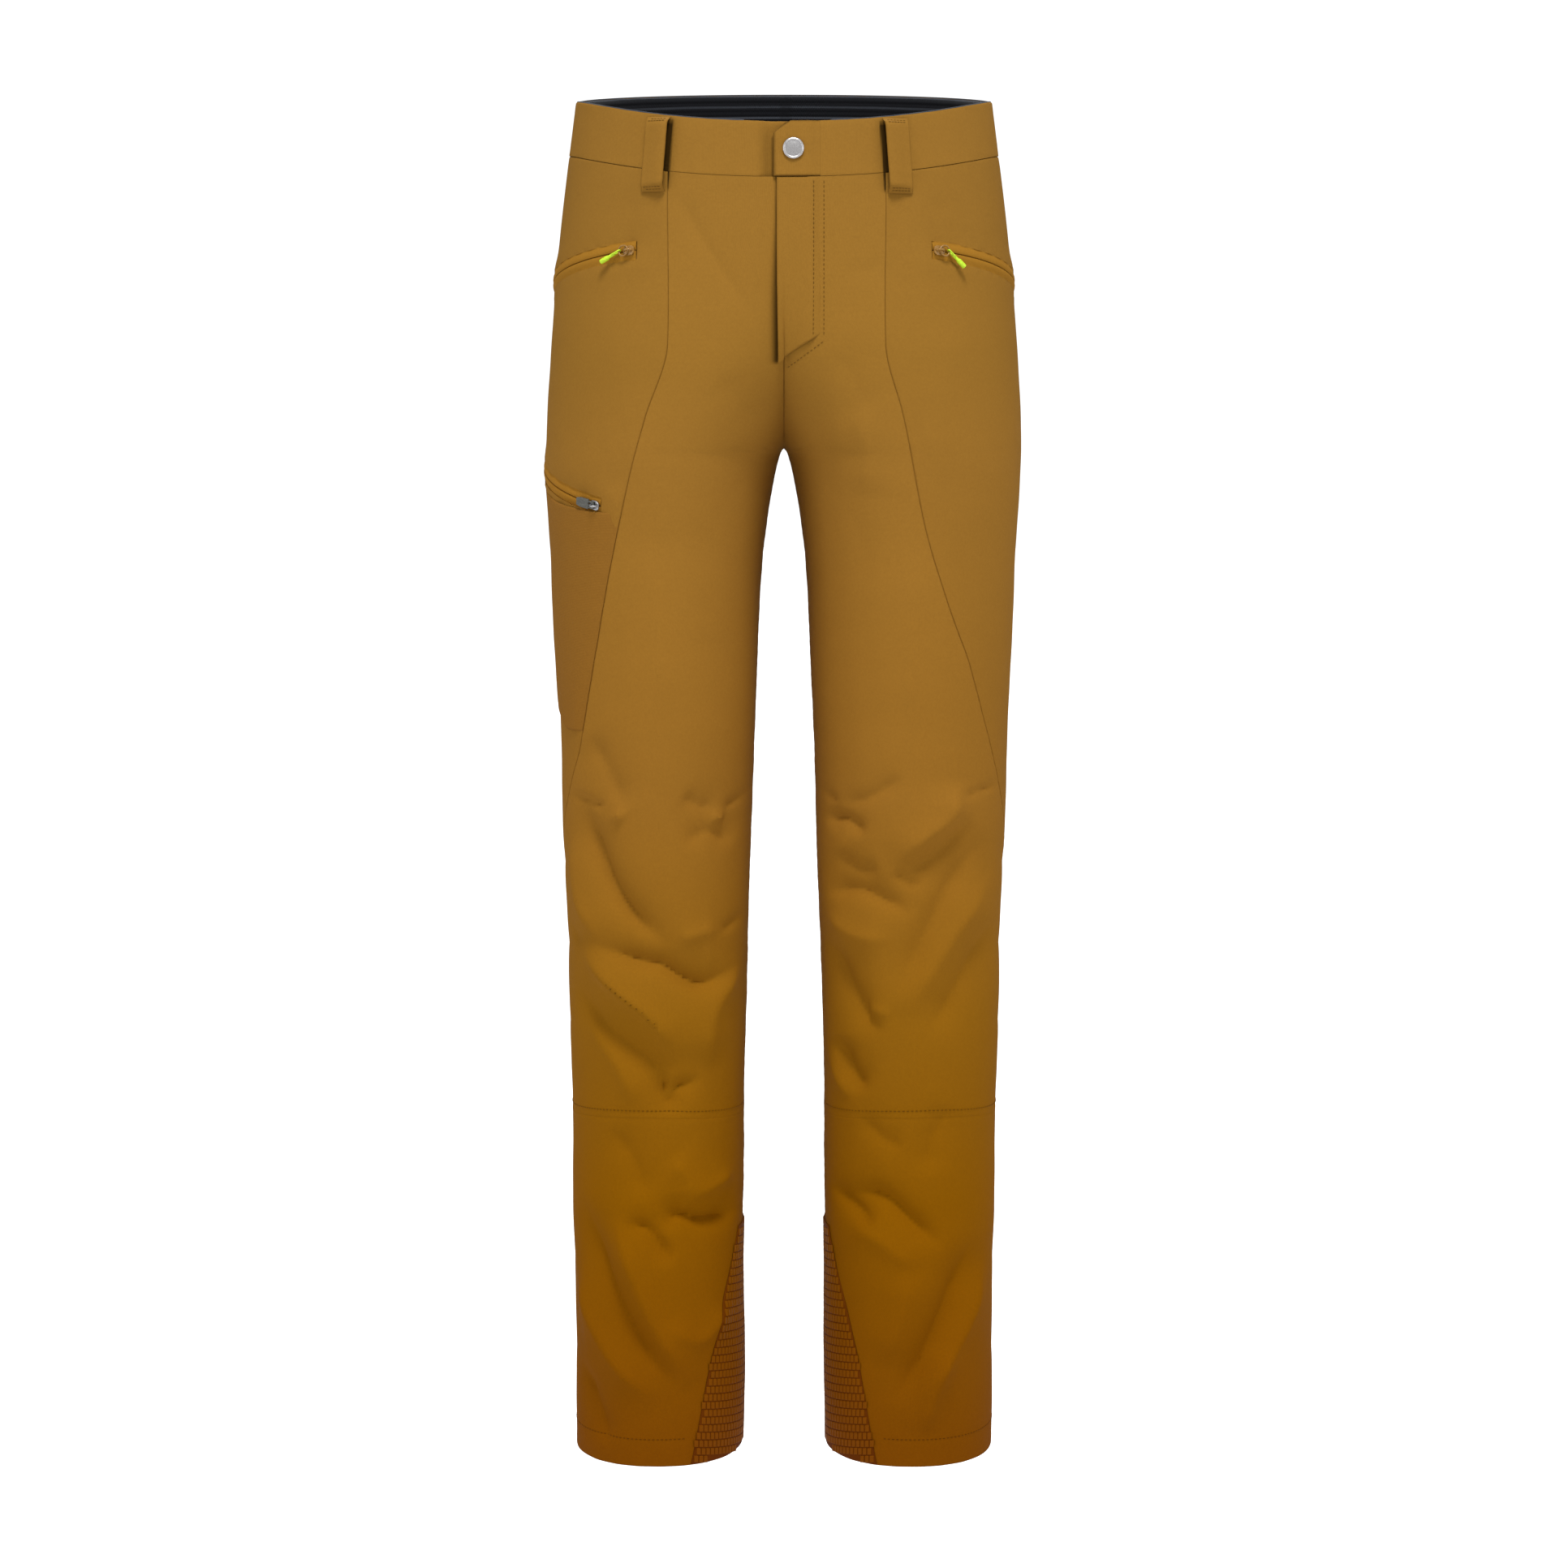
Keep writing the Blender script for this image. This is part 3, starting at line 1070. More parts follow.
for word, side in sides.items():
    seam, edge = frontSeams[side], outerEdge(side)
    clothSheet(f"front_panel_{word}", {
        "side": side, "left": leftFrontEdge if side > 0 else rightFrontEdge,
        "right": lambda z, e=edge: e(z) - halfGap(z), "foot": lambda u: kneeRow(u) + gap, "head": panelTopZ,
        "middleZ": -0.45, "tall": 0.73, "cell": 0.0029, "centre": 0, "tuck": frontShade(side),
        "turned": (1, 1, 0.55, 0.5), "finer": (0.011, 0.0009),
    }, "main_cloth", nodes=[f"front_panel_{word}"])
    sidePanel = clothSheet(f"side_panel_{word}", {
        "side": side, "left": lambda z, s=seam: s(z) + halfGap(z), "right": lambda z: sideSeamU(z) - halfGap(z),
        "foot": sidePanelFootZ + 0.004, "head": panelTopZ, "middleZ": -0.2, "tall": 0.55,
        "zips": [f"hand_zip_{word}"] + (["thigh_zip"] if side < 0 else []),
    }, "side_cloth", nodes=[f"side_panel_{word}"])
    cutSlot(sidePanel, f"hand_zip_{word}")
    if side < 0:
        cutSlot(sidePanel, "thigh_zip")
    backPanel = clothSheet(f"back_panel_{word}", {
        "side": side, "left": lambda z: sideSeamU(z) + halfGap(z),
        "right": lambda z: 1 - np.where(z > crotchZ, frontU(0, z), halfGap(z)),
        "foot": kneeSeamZ + gap, "head": lambda u: yokeFootZ(u) - gap, "middleZ": -0.4, "tall": 0.70,
        "cell": 0.0045, "centre": -1,
        "zips": ["back_zip"] if side < 0 else [],
    }, "main_cloth", nodes=[f"back_panel_{word}"])
    if side < 0:
        cutSlot(backPanel, "back_zip")
    clothSheet(f"back_yoke_{word}", {
        "side": side, "left": lambda z: sideSeamU(z) + halfGap(z), "right": lambda z: 1 - frontU(0, z),
        "foot": yokeFootZ, "head": panelTopZ, "middleZ": -0.06, "tall": 0.05, "centre": -1,
    }, "main_cloth", nodes=[f"back_yoke_{word}"])
    clothSheet(f"shin_panel_{word}", {
        "side": side, "left": halfGap, "right": lambda z: sideSeamU(z) - halfGap(z),
        "foot": hemZ, "head": lambda u: kneeRow(u) - gap, "middleZ": -0.9, "tall": 0.275, "cell": 0.0029,
        "turned": (1, 1, 1, 0.55),
    }, "lower_cloth", nodes=[f"shin_panel_{word}"])
    clothSheet(f"calf_panel_{word}", {
        "side": side, "left": lambda z: sideSeamU(z) + halfGap(z), "right": lambda z: 1 - halfGap(z),
        "foot": hemZ, "head": kneeSeamZ - gap, "middleZ": -0.9, "tall": 0.275,
    }, "lower_cloth", nodes=[f"calf_panel_{word}"])
    clothSheet(f"hem_facing_{word}", {
        "side": side, "left": halfGap, "right": lambda z: 1 - halfGap(z), "foot": hemZ + 0.0004,
        "head": hemZ + 0.025,
        "middleZ": -1.05, "tall": 0.025, "face": -0.0016, "roll": 0.0003,
    }, "lower_cloth", nodes=[f"hem_facing_{word}"])
print("leg and hip panels made")

# ---- thigh pocket patch ----
patchTop = smoothLine([(0.2, thighEnds[1] - 0.0095), (0.42, -1.12 * rise - 0.008),
                       (thighEnds[2], thighEnds[3] - 0.011)])


def patchFace(x, z, across, up):
    return 0.0016 - 0.0013 * (1 - smoothStep(across, 0.0, 0.10))


clothSheet("thigh_pocket_patch", {
    "side": -1, "left": lambda z: frontSeams[-1](z) + uOf(0.0002, z),
    "right": lambda z: sideSeamU(z) - uOf(0.0008, z),
    "foot": lambda u: legZ(0.27) + 0.9 * rise * np.maximum(0, u - 0.42), "head": patchTop,
    "middleZ": -0.4, "tall": 0.17, "face": patchFace, "roll": 0.0009, "turned": (0.2, 1, 1, 1),
}, "pocket_cloth", nodes=["thigh_pocket_patch"])

# ---- waistband, tab and elastic ----
tabEdgeX = -0.008


def ringOfX(x, z):
    return np.sign(x) * frontU(np.abs(x), z)


def sinkUnderTab(x, z, across, up):
    return -0.0044 * smoothStep(x, tabEdgeX - 0.014, tabEdgeX - 0.002) * (across > 0.5)


bandLook = {"thick": 0.002, "cell": 0.0011, "cellUp": 0.0032, "tall": 0.041, "relief": 0.0, "roll": 0.0009}


def bandShade(side):
    # shade beside the loop, and beside the tab's free end
    def shade(x, z, across, up):
        front = z < rimZ(0.3) + 0.01
        loop = besideLoop(side, x, z) * ringFront(across, side)
        edgeX = tabEdgeX + np.maximum(0, 0.012 - (rimZ(0.0) - z)) / 1.1
        tab = shadeLook["tab"] * besideEdge(x, edgeX, 0.0009) * ringFront(across, side) if side < 0 else 0.0
        return np.maximum(loop, tab) * front
    return shade


def ringFront(across, side):
    # each half of the band starts or ends at the fly: the front is the half nearer to it
    return (across > 0.5) if side < 0 else (across < 0.5)


clothSheet("waistband_right", {
    **bandLook, "side": 0, "left": lambda z: -1 + halfGap(z), "right": lambda z: ringOfX(0.022, z),
    "foot": bandFootZ, "head": rimZ, "face": sinkUnderTab, "turned": (1, 1, 0.45, 1), "tuck": bandShade(-1),
}, "main_cloth", nodes=["waistband_right"])
clothSheet("waistband_left", {
    **bandLook, "side": 0, "left": lambda z: ringOfX(flapHingeX + 0.00003, z),
    "right": lambda z: 1 - halfGap(z),
    "foot": bandFootZ, "head": rimZ, "turned": (0, 1, 0.45, 1), "tuck": bandShade(1),
}, "main_cloth", nodes=["waistband_left"])


def tabFace(x, z, across, up):
    return 0.0028 - 0.0028 * smoothStep(x, 0.016, flapHingeX)


def tabHead(w):
    x = np.abs(w) * np.sign(w) * 0.5
    return rimZ(w) - np.maximum(0, 0.012 - 1.1 * (x - tabEdgeX))


clothSheet("waist_tab", {
    **bandLook, "side": 0, "left": lambda z: ringOfX(tabEdgeX, z),
    "right": lambda z: ringOfX(flapHingeX - 0.00003, z),
    "foot": bandFootZ, "head": tabHead, "face": tabFace, "cell": 0.002, "cellUp": 0.002, "turned": (1, 0, 1, 1),
    "edgeTuck": 0.6,
}, "main_cloth", body="fly_cover", nodes=["waist_tab"])


def elasticFace(x, z, across, up):
    # shallow ribs, and a top edge that rolls out over the rim
    return -0.0034 + 0.0002 * np.sin(up * 2 * np.pi * 11) + 0.0031 * smoothStep(up, 0.93, 0.985)


clothSheet("inner_elastic", {
    "side": 0, "left": lambda z: ringOfX(flapHingeX + 0.008, z), "right": lambda z: 2 - frontU(0.03, z),
    "foot": lambda w: rimZ(w) - 0.0385, "head": lambda w: rimZ(w) + 0.0007, "thick": 0.0012, "relief": 0.0,
    "tall": 0.039,
    "face": elasticFace, "cell": 0.006, "cellUp": 0.0009, "pucker": 0.5,
}, "elastic", nodes=["inner_elastic"])

# ---- fly flap ----
def flapFoot(w):
    x = w * 0.5
    return flapFootZ - 0.020 * np.clip(1 - (x - flapEdgeX) / (flapHingeX - flapEdgeX), 0, 1)


def flapFace(x, z, across, up):
    free = 1 - smoothStep(x, flapEdgeX, 0.006)
    return 0.0020 - 0.0020 * smoothStep(x, 0.019, flapHingeX) + 0.0022 * free * smoothStep(-z, 0.07, 0.17)


clothSheet("fly_flap", {
    "side": 0, "left": lambda z: ringOfX(flapEdgeX, z), "right": lambda z: ringOfX(flapHingeX - 0.0002, z),
    "foot": flapFoot, "head": lambda w: bandFootZ(w) - 0.0004, "face": flapFace, "tall": 0.12, "middleZ": -0.12,
    "cell": 0.0022, "cellUp": 0.0032, "relief": 0.4, "turned": (1, 0.5, 1, 1),
}, "main_cloth", body="fly_cover", nodes=["fly_flap"])
print("waist and fly made")

# ---- pocket bags ----
bagLook = {"thick": 0.001, "face": -0.0075, "relief": 0.25}
for word, side in sides.items():
    clothSheet(f"hand_pocket_bag_{word}", {
        **bagLook, "side": side, "left": 0.23, "right": 0.52, "foot": -1.02 * rise, "head": -0.38 * rise,
        "tall": 0.17, "cell": 0.006,
        "middleZ": -0.18,
    }, "lining", nodes=[f"hand_pocket_bag_{word}"])
clothSheet("back_pocket_bag", {
    **bagLook, "side": -1, "left": lambda z: backU(0.86 * outerX(z), z),
    "right": lambda z: backU(0.14 * outerX(z), z),
    "foot": -0.92 * rise, "head": -0.43 * rise, "tall": 0.13, "cell": 0.006, "middleZ": -0.18,
}, "lining", nodes=["back_pocket_bag"])

# ---- belt loops ----
def loopFace(inner):
    def face(x, z, across, up):
        ends = smoothStep(up, 0.0, 0.10) * smoothStep(1 - up, 0.0, 0.08)
        open_ = across if inner > 0 else 1 - across
        return 0.0021 + ends * loopLook["standOff"] * (0.32 + 0.68 * smoothStep(open_, 0.0, 0.9))
    return face


def beltLoop(name, side, uAt, inner):
    top = float(rimZ(uAt)) - loopLook["topGap"]
    clothSheet(name, {
        "side": side, "left": lambda z: uAt - uOf(loopLook["wide"] / 2, z),
        "right": lambda z: uAt + uOf(loopLook["wide"] / 2, z),
        "foot": top - loopLook["long"], "head": top, "tall": loopLook["long"], "middleZ": top - 0.028,
        "face": loopFace(inner), "thick": loopLook["thick"], "cell": 0.002, "cellUp": 0.0022, "relief": 0.0,
        "roll": 0.0009,
    }, "main_cloth", nodes=[name])
    lines = []
    for at in (0.0018, 0.0034, loopLook["long"] - 0.0018, loopLook["long"] - 0.0034):
        shares = np.linspace(0.1, 0.9, 12)
        z = np.full(12, top - at)
        u = uAt + uOf(loopLook["wide"], z) * (shares - 0.5)
        up = 1 - at / loopLook["long"]
        lines.append((side, u, z, loopFace(inner)(0, z, shares, up) + 0.0001))
    stitchRun(f"{name}_bar_tacks", "garment", "main_cloth", lines, step=0.0026)


for word, side in sides.items():
    beltLoop(f"belt_loop_front_{word}", side, loopU(side), -1)
    beltLoop(f"belt_loop_back_{word}", side, float(backU(0.62 * waistHalf, 0.0)), 1)


def centreLoop():
    look = loopLook
    long = np.linspace(0, 1, 30)
    wide = np.linspace(-0.5, 0.5, 10)
    across, up = np.meshgrid(wide, long)
    z = float(rimZ(1.0)) - look["topGap"] - look["long"] * (1 - up)
    lift = 0.0012 + look["standOff"] * smoothStep(up, 0, 0.1) * smoothStep(1 - up, 0, 0.08)
    y = skin(1, np.ones(z.shape), z)[..., 1]
    outer = np.stack([-across * look["wide"], y + lift + look["thick"] - 0.0006 * np.abs(across * 2) ** 8, z],
                     -1)
    inner = np.stack([-across * look["wide"], y + lift, z], -1)
    uv = np.stack([across * look["wide"], z], -1).reshape(-1, 2)
    piece, _ = closedSheet("belt_loop_back_centre", outer, inner, uv)
    smoothFaces(piece)
    settle(piece, "garment", "main_cloth", cloths["main_cloth"], "belt_loop_back_centre")


centreLoop()
print("belt loops made")

# ---- ankle guards: a thin backing and slanted rows of raised blocks ----
guardLook = {"cellWide": 0.0046, "cellTall": 0.0063, "gap": 0.0009, "raise": 0.0008, "slant": 0.16,
             "backing": 0.0010}
guardTop = legZ(0.77)
guardFront = smoothLine([(guardTop, 0.055), (legZ(0.86), 0.13), (hemZ, 0.19)])
guardBack = smoothLine([(guardTop, -0.04), (legZ(0.86), -0.1), (hemZ, -0.15)])


def guardBlocks(word, side, look):
    tall, wide, gapSize = look["cellTall"], look["cellWide"], look["gap"]
    points, faces = [], []
    girth = float(girthPerU(hemZ))
    outline = [(-1, -1, 0), (1, -1, 0), (1, 1, 0), (-1, 1, 0), (-1, -1, 0.6), (1, -1, 0.6), (1, 1, 0.6),
               (-1, 1, 0.6),
               (-0.72, -0.8, 1), (0.72, -0.8, 1), (0.72, 0.8, 1), (-0.72, 0.8, 1)]
    blockFaces = [(3, 2, 1, 0), (8, 9, 10, 11)]
    for k in (0, 4):
        blockFaces += [(k + i, k + (i + 1) % 4, k + 4 + (i + 1) % 4, k + 4 + i) for i in range(4)]
    for row in range(int((guardTop - hemZ + 0.06) / tall)):
        for column in range(-34, 40):
            s = (column + 0.5 * (row % 2)) * wide
            u = s / girth
            z = hemZ - 0.03 + (row + 0.5) * tall + look["slant"] * s
            inHeight = hemZ + 0.5 * tall < z < guardTop - 0.002
            if not (inHeight and float(guardBack(z)) + 0.006 < u < float(guardFront(z)) - 0.001):
                continue
            corner = np.array(outline)
            cu = (s + corner[:, 0] * (wide - gapSize) / 2) / girth
            cz = z + corner[:, 1] * (tall - gapSize) / 2 + look["slant"] * corner[:, 0] * wide / 2
            place, normal = skin(side, cu, cz), skinNormal(side, cu, cz)
            lift = look["backing"] + corner[:, 2] * look["raise"] - 0.0002 + relief(side, cu, cz, place, normal)
            base = len(points) * 12
            points.append(place + normal * lift[:, None])
            faces += [[base + i for i in (face if side > 0 else face[::-1])] for face in blockFaces]
    piece = meshPiece(f"ankle_guard_{word}_blocks", np.vstack(points), faces)
    smoothFaces(piece, 30)
    settle(piece, "garment", "guard_cloth", blockLook)
    print(piece.name, len(points), "blocks")


for word, side in sides.items():
    clothSheet(f"ankle_guard_{word}", {
        "side": side, "left": guardBack, "right": guardFront, "foot": hemZ + 0.001, "head": guardTop,
        "middleZ": -1.0, "tall": 0.18,
        "face": guardLook["backing"], "thick": 0.0008, "roll": 0.0005, "cell": 0.004,
    }, "guard_cloth", nodes=[f"ankle_guard_{word}"])
    guardBlocks(word, side, guardLook)
print("ankle guards made")

# ---- topstitching ----
stitchAt = {"knee": 0.0062, "hem": 0.0225, "seam": 0.003, "fly": 0.0028, "flap": 0.0222}
for word, side in sides.items():
    u = np.linspace(0.01, 0.515, 160)
    stitchRun(f"knee_seam_{word}_stitches", "garment", "lower_cloth", [
        (side, u, kneeRow(u) + stitchAt["knee"], 0.0002)])
    u = np.linspace(0.0, 1.0, 300)
    keep = (u > 0.2) & (u < 0.84)
    stitchRun(f"hem_{word}_stitches", "garment", "lower_cloth",
              [(side, u[keep], np.full(keep.sum(), hemZ + stitchAt["hem"]), 0.0001)])
    z = np.linspace(yokeFootZ(0.6) - 0.01, kneeSeamZ + 0.01, 200)
    stitchRun(f"side_seam_{word}_stitches", "garment", "main_cloth",
              [(side, sideSeamU(z) + uOf(stitchAt["seam"], z), z, 0.0001)])
    u = np.linspace(0.61, 0.985, 120)
    stitchRun(f"yoke_{word}_stitches", "garment", "main_cloth",
              [(side, u, yokeFootZ(u) - stitchAt["seam"], 0.0001)])
z = np.linspace(-0.062, flapFootZ, 60)
diagonal = np.linspace(0, 1, 30)
dx = flapHingeX + stitchAt["fly"] + (0.002 - flapHingeX - stitchAt["fly"]) * diagonal
dz = flapFootZ - 0.0042 - 0.0205 * diagonal
stitchRun("fly_stitches", "garment", "main_cloth", [
    (1, frontU(flapHingeX + stitchAt["fly"], z), z, 0.0001),
    (1, frontU(np.maximum(dx, 0.0005), dz), dz, 0.0001)])
stitchRun("fly_flap_stitches", "fly_cover", "main_cloth", [
    (1, frontU(stitchAt["flap"], z), z, 0.0016 + 0.0001)])
print("topstitching made")

# ---- zip tapes and teeth ----
for name, words, lip in (("hand_zip_right", ("upper", "lower"), 0.35),
                         ("hand_zip_left", ("upper", "lower"), 0.35),
                         ("back_zip", ("upper", "lower"), 0.35), ("thigh_zip", ("upper", "lower"), 0.3),
                         ("fly_zip", ("left", "right"), 0.0)):
    zipTapes(name, words, lip)


coilLook = {"pitch": 0.0014, "sink": 0.0013, "aside": 0.00055, "half": (0.00035, 0.00042, 0.00105)}


def coilTeeth(name):
    # one small loop of coil, copied along the zip on alternate hands under the tape lips
    track = zips[name]
    pitch, (halfOff, halfRun, halfAcross) = coilLook["pitch"], coilLook["half"]
    corner = np.array([(a, b, c) for a in (-1, 1) for b in (-1, 1) for c in (-1, 1)], float)
    cube = [(0, 1, 3, 2), (4, 6, 7, 5), (0, 4, 5, 1), (2, 3, 7, 6), (0, 2, 6, 4), (1, 5, 7, 3)]
    points, faces = [], []
    for i in range(int(track["length"] / pitch)):
        hand = 1 if i % 2 else -1
        along = (i + 0.5) * pitch
        off = -coilLook["sink"] + corner[:, 0] * halfOff
        run = along + corner[:, 1] * halfRun * (1 - 0.25 * (corner[:, 0] > 0))
        across = hand * coilLook["aside"] + corner[:, 2] * halfAcross
        points.append(onTrack(track, off, run, across))
        faces += [[8 * i + k for k in face] for face in cube]
    piece = meshPiece(f"{name}_teeth", np.vstack(points), faces)
    outwardFaces(piece)
    settle(piece, "garment", "zip_tape", threadLook)


for name in zips:
    coilTeeth(name)
print("zip tapes and teeth made")

# ---- hardware, modelled once in the slider's own frame: x off the cloth, y along the zip, z across ----
metal = {
    "sliderLong": 0.009, "sliderWide": 0.0074, "wing": 0.0011, "wingFoot": 0.0011, "axle": 0.0032,
    "ringRadius": 0.0039, "ringWire": 0.00065, "bailWire": 0.0006,
}


def pickFaces(piece, test):
    mesh = bmesh.from_edit_mesh(piece.data)
    mesh.select_mode = {"FACE"}
    for part in list(mesh.faces):
        part.select_set(False)
    for part in mesh.faces:
        if test(part.calc_center_median(), part.normal):
            part.select_set(True)
    mesh.select_flush_mode()
    bmesh.update_edit_mesh(piece.data)


def pickVerts(piece, test):
    mesh = bmesh.from_edit_mesh(piece.data)
    bpy.ops.mesh.select_mode(type="VERT")
    for part in mesh.verts:
        part.select_set(bool(test(part.co)))
    mesh.select_flush_mode()
    bmesh.update_edit_mesh(piece.data)


def applyModifier(piece, kind, **values):
    bpy.context.view_layer.objects.active = piece
    step = piece.modifiers.new(kind.lower(), kind)
    for key, value in values.items():
        setattr(step, key, value)
    bpy.ops.object.modifier_apply(modifier=step.name)


def block(name, size, place):
    bpy.ops.object.select_all(action="DESELECT")
    bpy.ops.mesh.primitive_cube_add(size=1, location=place, scale=size)
    piece = bpy.context.active_object
    piece.name = name
    bpy.ops.object.transform_apply()
    return piece


def joinPieces(name, pieces):
    bpy.ops.object.select_all(action="DESELECT")
    for piece in pieces:
        piece.select_set(True)
    bpy.context.view_layer.objects.active = pieces[0]
    bpy.ops.object.join()
    pieces[0].name = name
    return pieces[0]


def tidyNormals(piece):
    pickOnly(piece)
    startEdit()
    bpy.ops.mesh.remove_doubles(threshold=1e-6)
    bpy.ops.mesh.normals_make_consistent(inside=False)
    endEdit()


def sliderWing(name, foot, look):
    plate = block(name, (look["wing"], look["sliderLong"], look["sliderWide"]), (foot + look["wing"] / 2, 0, 0))
    startEdit()
    bpy.ops.mesh.subdivide(number_cuts=3)
    for edgeY, narrow in ((0.9, 0.58), (-0.9, 0.6), (0.45, 0.94)):
        far = look["sliderLong"] / (2 if abs(edgeY) > 0.5 else 4)
        pickVerts(plate, lambda co: co.y * edgeY > 0 and abs(abs(co.y) - far) < 1e-5)
        bpy.ops.transform.resize(value=(1, 1, narrow), center_override=(foot, 0, 0))
    endEdit()
    applyModifier(plate, "BEVEL", width=0.00028, segments=2, limit_method="ANGLE", angle_limit=math.radians(50))
    return plate


def makeSlider(look):
    top = sliderWing("sliderTop", look["wingFoot"], look)
    low = sliderWing("sliderLow", -0.0024, look)
    neck = block("sliderNeck", (0.0032, 0.0016, 0.0022), (0.0002, -look["sliderLong"] / 2 + 0.0012, 0))
    applyModifier(neck, "BEVEL", width=0.0003, segments=2)
    bpy.ops.object.select_all(action="DESELECT")  # the bail is half a ring that stands on the top wing
    bpy.ops.mesh.primitive_torus_add(major_radius=0.0031, minor_radius=look["bailWire"], major_segments=28,
                                     minor_segments=10,
                                     location=(look["wingFoot"] + look["wing"] - 0.0002, 0, 0))
    bail = bpy.context.active_object
    bpy.ops.object.transform_apply()
    startEdit()
    cutX = look["wingFoot"] + look["wing"] - 0.0003
    bpy.ops.mesh.bisect(plane_co=(cutX, 0, 0), plane_no=(1, 0, 0), clear_inner=True, use_fill=True)
    bpy.ops.mesh.select_all(action="SELECT")
    bpy.ops.transform.resize(value=(1.12, 1.05, 1.35), center_override=(cutX, 0, 0))
    endEdit()
    slider = joinPieces("sliderModel", [top, low, neck, bail])
    smoothFaces(slider, 40)
    return slider


def makeRing(look):
    bpy.ops.object.select_all(action="DESELECT")
    bpy.ops.mesh.primitive_torus_add(major_radius=look["ringRadius"], minor_radius=look["ringWire"],
                                     major_segments=40, minor_segments=12,
                                     rotation=(0, math.pi / 2, 0),
                                     location=(look["axle"], look["ringRadius"], 0))
    ring = bpy.context.active_object
    bpy.ops.object.transform_apply()
    bpy.ops.object.mode_set(mode="EDIT")
    pickVerts(ring, lambda co: co.y > 1.35 * look["ringRadius"])  # a flatter far side, where the cord sits
    bpy.ops.transform.resize(value=(0.9, 0.97, 1.05),
                             center_override=(look["axle"], 1.35 * look["ringRadius"], 0))
    endEdit()
    ring.name = "ringModel"
    smoothFaces(ring, 60)
    return ring


def turnedPiece(name, profile, sides, centre=(0, 0, 0)):
    # a disc extruded and resized ring by ring, up the z axis
    bpy.ops.object.select_all(action="DESELECT")
    radius, height = profile[0]
    bpy.ops.mesh.primitive_circle_add(vertices=sides, radius=radius, fill_type="NGON", location=(0, 0, height))
    piece = bpy.context.active_object
    bpy.ops.object.transform_apply()
    startEdit()
    for nextRadius, nextHeight in profile[1:]:
        bpy.ops.mesh.extrude_region_move(TRANSFORM_OT_translate={"value": (0, 0, nextHeight - height)})
        share = nextRadius / radius
        bpy.ops.transform.resize(value=(share, share, 1), center_override=(0, 0, nextHeight))
        radius, height = nextRadius, nextHeight
    bpy.ops.mesh.select_all(action="SELECT")
    bpy.ops.mesh.normals_make_consistent(inside=False)
    endEdit()
    piece.name = name
    return piece


def makePull(look):
    # two strands of cord looped through the ring, then a moulded grip
    eyeY = 2 * look["ringRadius"]
    bpy.ops.object.select_all(action="DESELECT")
    bpy.ops.mesh.primitive_torus_add(major_radius=0.00125, minor_radius=0.00062, major_segments=24,
                                     minor_segments=10,
                                     location=(look["axle"], eyeY, 0))
    loop = bpy.context.active_object
    bpy.ops.object.transform_apply()
    bpy.ops.object.mode_set(mode="EDIT")
    pickVerts(loop, lambda co: co.y > eyeY + 0.0003)
    bpy.ops.transform.translate(value=(0, 0.0052, 0))
    endEdit()
    profile = [(0.0007, 0), (0.0011, 0.0002), (0.00125, 0.001), (0.00125, 0.0054), (0.0017, 0.0060),
               (0.0019, 0.0068),
               (0.0019, 0.0122), (0.0018, 0.0129), (0.0011, 0.0133), (0.0003, 0.0134)]
    grip = turnedPiece("pullGrip", profile, 16)
    grip.data.transform(Matrix.Translation((look["axle"], eyeY + 0.0038,
                                            0)) @ Matrix.Rotation(-math.pi / 2, 4, "X"))
    grip.data.update()
    applyModifier(grip, "BEVEL", width=0.0001, segments=1, limit_method="ANGLE", angle_limit=math.radians(40))
    pull = joinPieces("pullModel", [loop, grip])
    tidyNormals(pull)
    smoothFaces(pull, 45)
    return pull


def makeTab(look, long, wide, thick):
    # a flat tab with two arms that hold the axle
    axle, half = look["axle"], 0.0010
    foot = 0.0046  # where the blade starts
    blade = block("tabBlade", (thick, long, wide), (axle, foot + long / 2, 0))
    startEdit()
    bpy.ops.mesh.subdivide(number_cuts=2)
    pickVerts(blade, lambda co: co.y > foot + long - 1e-5)
    bpy.ops.transform.resize(value=(1, 1, 0.72), center_override=(axle, 0, 0))
    pickFaces(blade, lambda c,
              n: abs(n.x) > 0.9 and abs(c.z) < wide / 5 and foot + long * 0.3 < c.y < foot + long * 0.9)
    bpy.ops.mesh.inset(thickness=0.0004, depth=-0.00025)
    endEdit()
    pieces = [blade, block("tabAxle", (0.0012, 0.0012, 2 * half + 0.0026), (axle, 0, 0))]
    for hand in (1, -1):
        pieces.append(block("tabArm", (0.0012, 0.0062, 0.0012), (axle, 0.0025, hand * (half + 0.0013))))
    for piece in pieces:
        bpy.ops.object.select_all(action="DESELECT")
        piece.select_set(True)
        applyModifier(piece, "BEVEL", width=0.00025, segments=2, limit_method="ANGLE",
                      angle_limit=math.radians(40))
    tab = joinPieces("tabModel", pieces)
    smoothFaces(tab, 40)
    return tab


def seatMatrix(track, turn=0.0):
    # the slider's place: the zip's frame, level with the track at the slider
    at = zipLook["sliderStart"]
    origin = onTrack(track, 0.0, at, 0.0)
    off, along = track["off"], track["along"]
    if track["radius"]:
        angle = at / track["radius"]
        cosine, sine = math.cos(angle), math.sin(angle)
        off, along = off * cosine + along * sine, along * cosine - off * sine
    seat = Matrix.Identity(4)
    for i, axis in enumerate((off, along, track["across"])):
        for j in range(3):
            seat[j][i] = float(axis[j])
    for j in range(3):
        seat[j][3] = float(origin[j])
    return seat


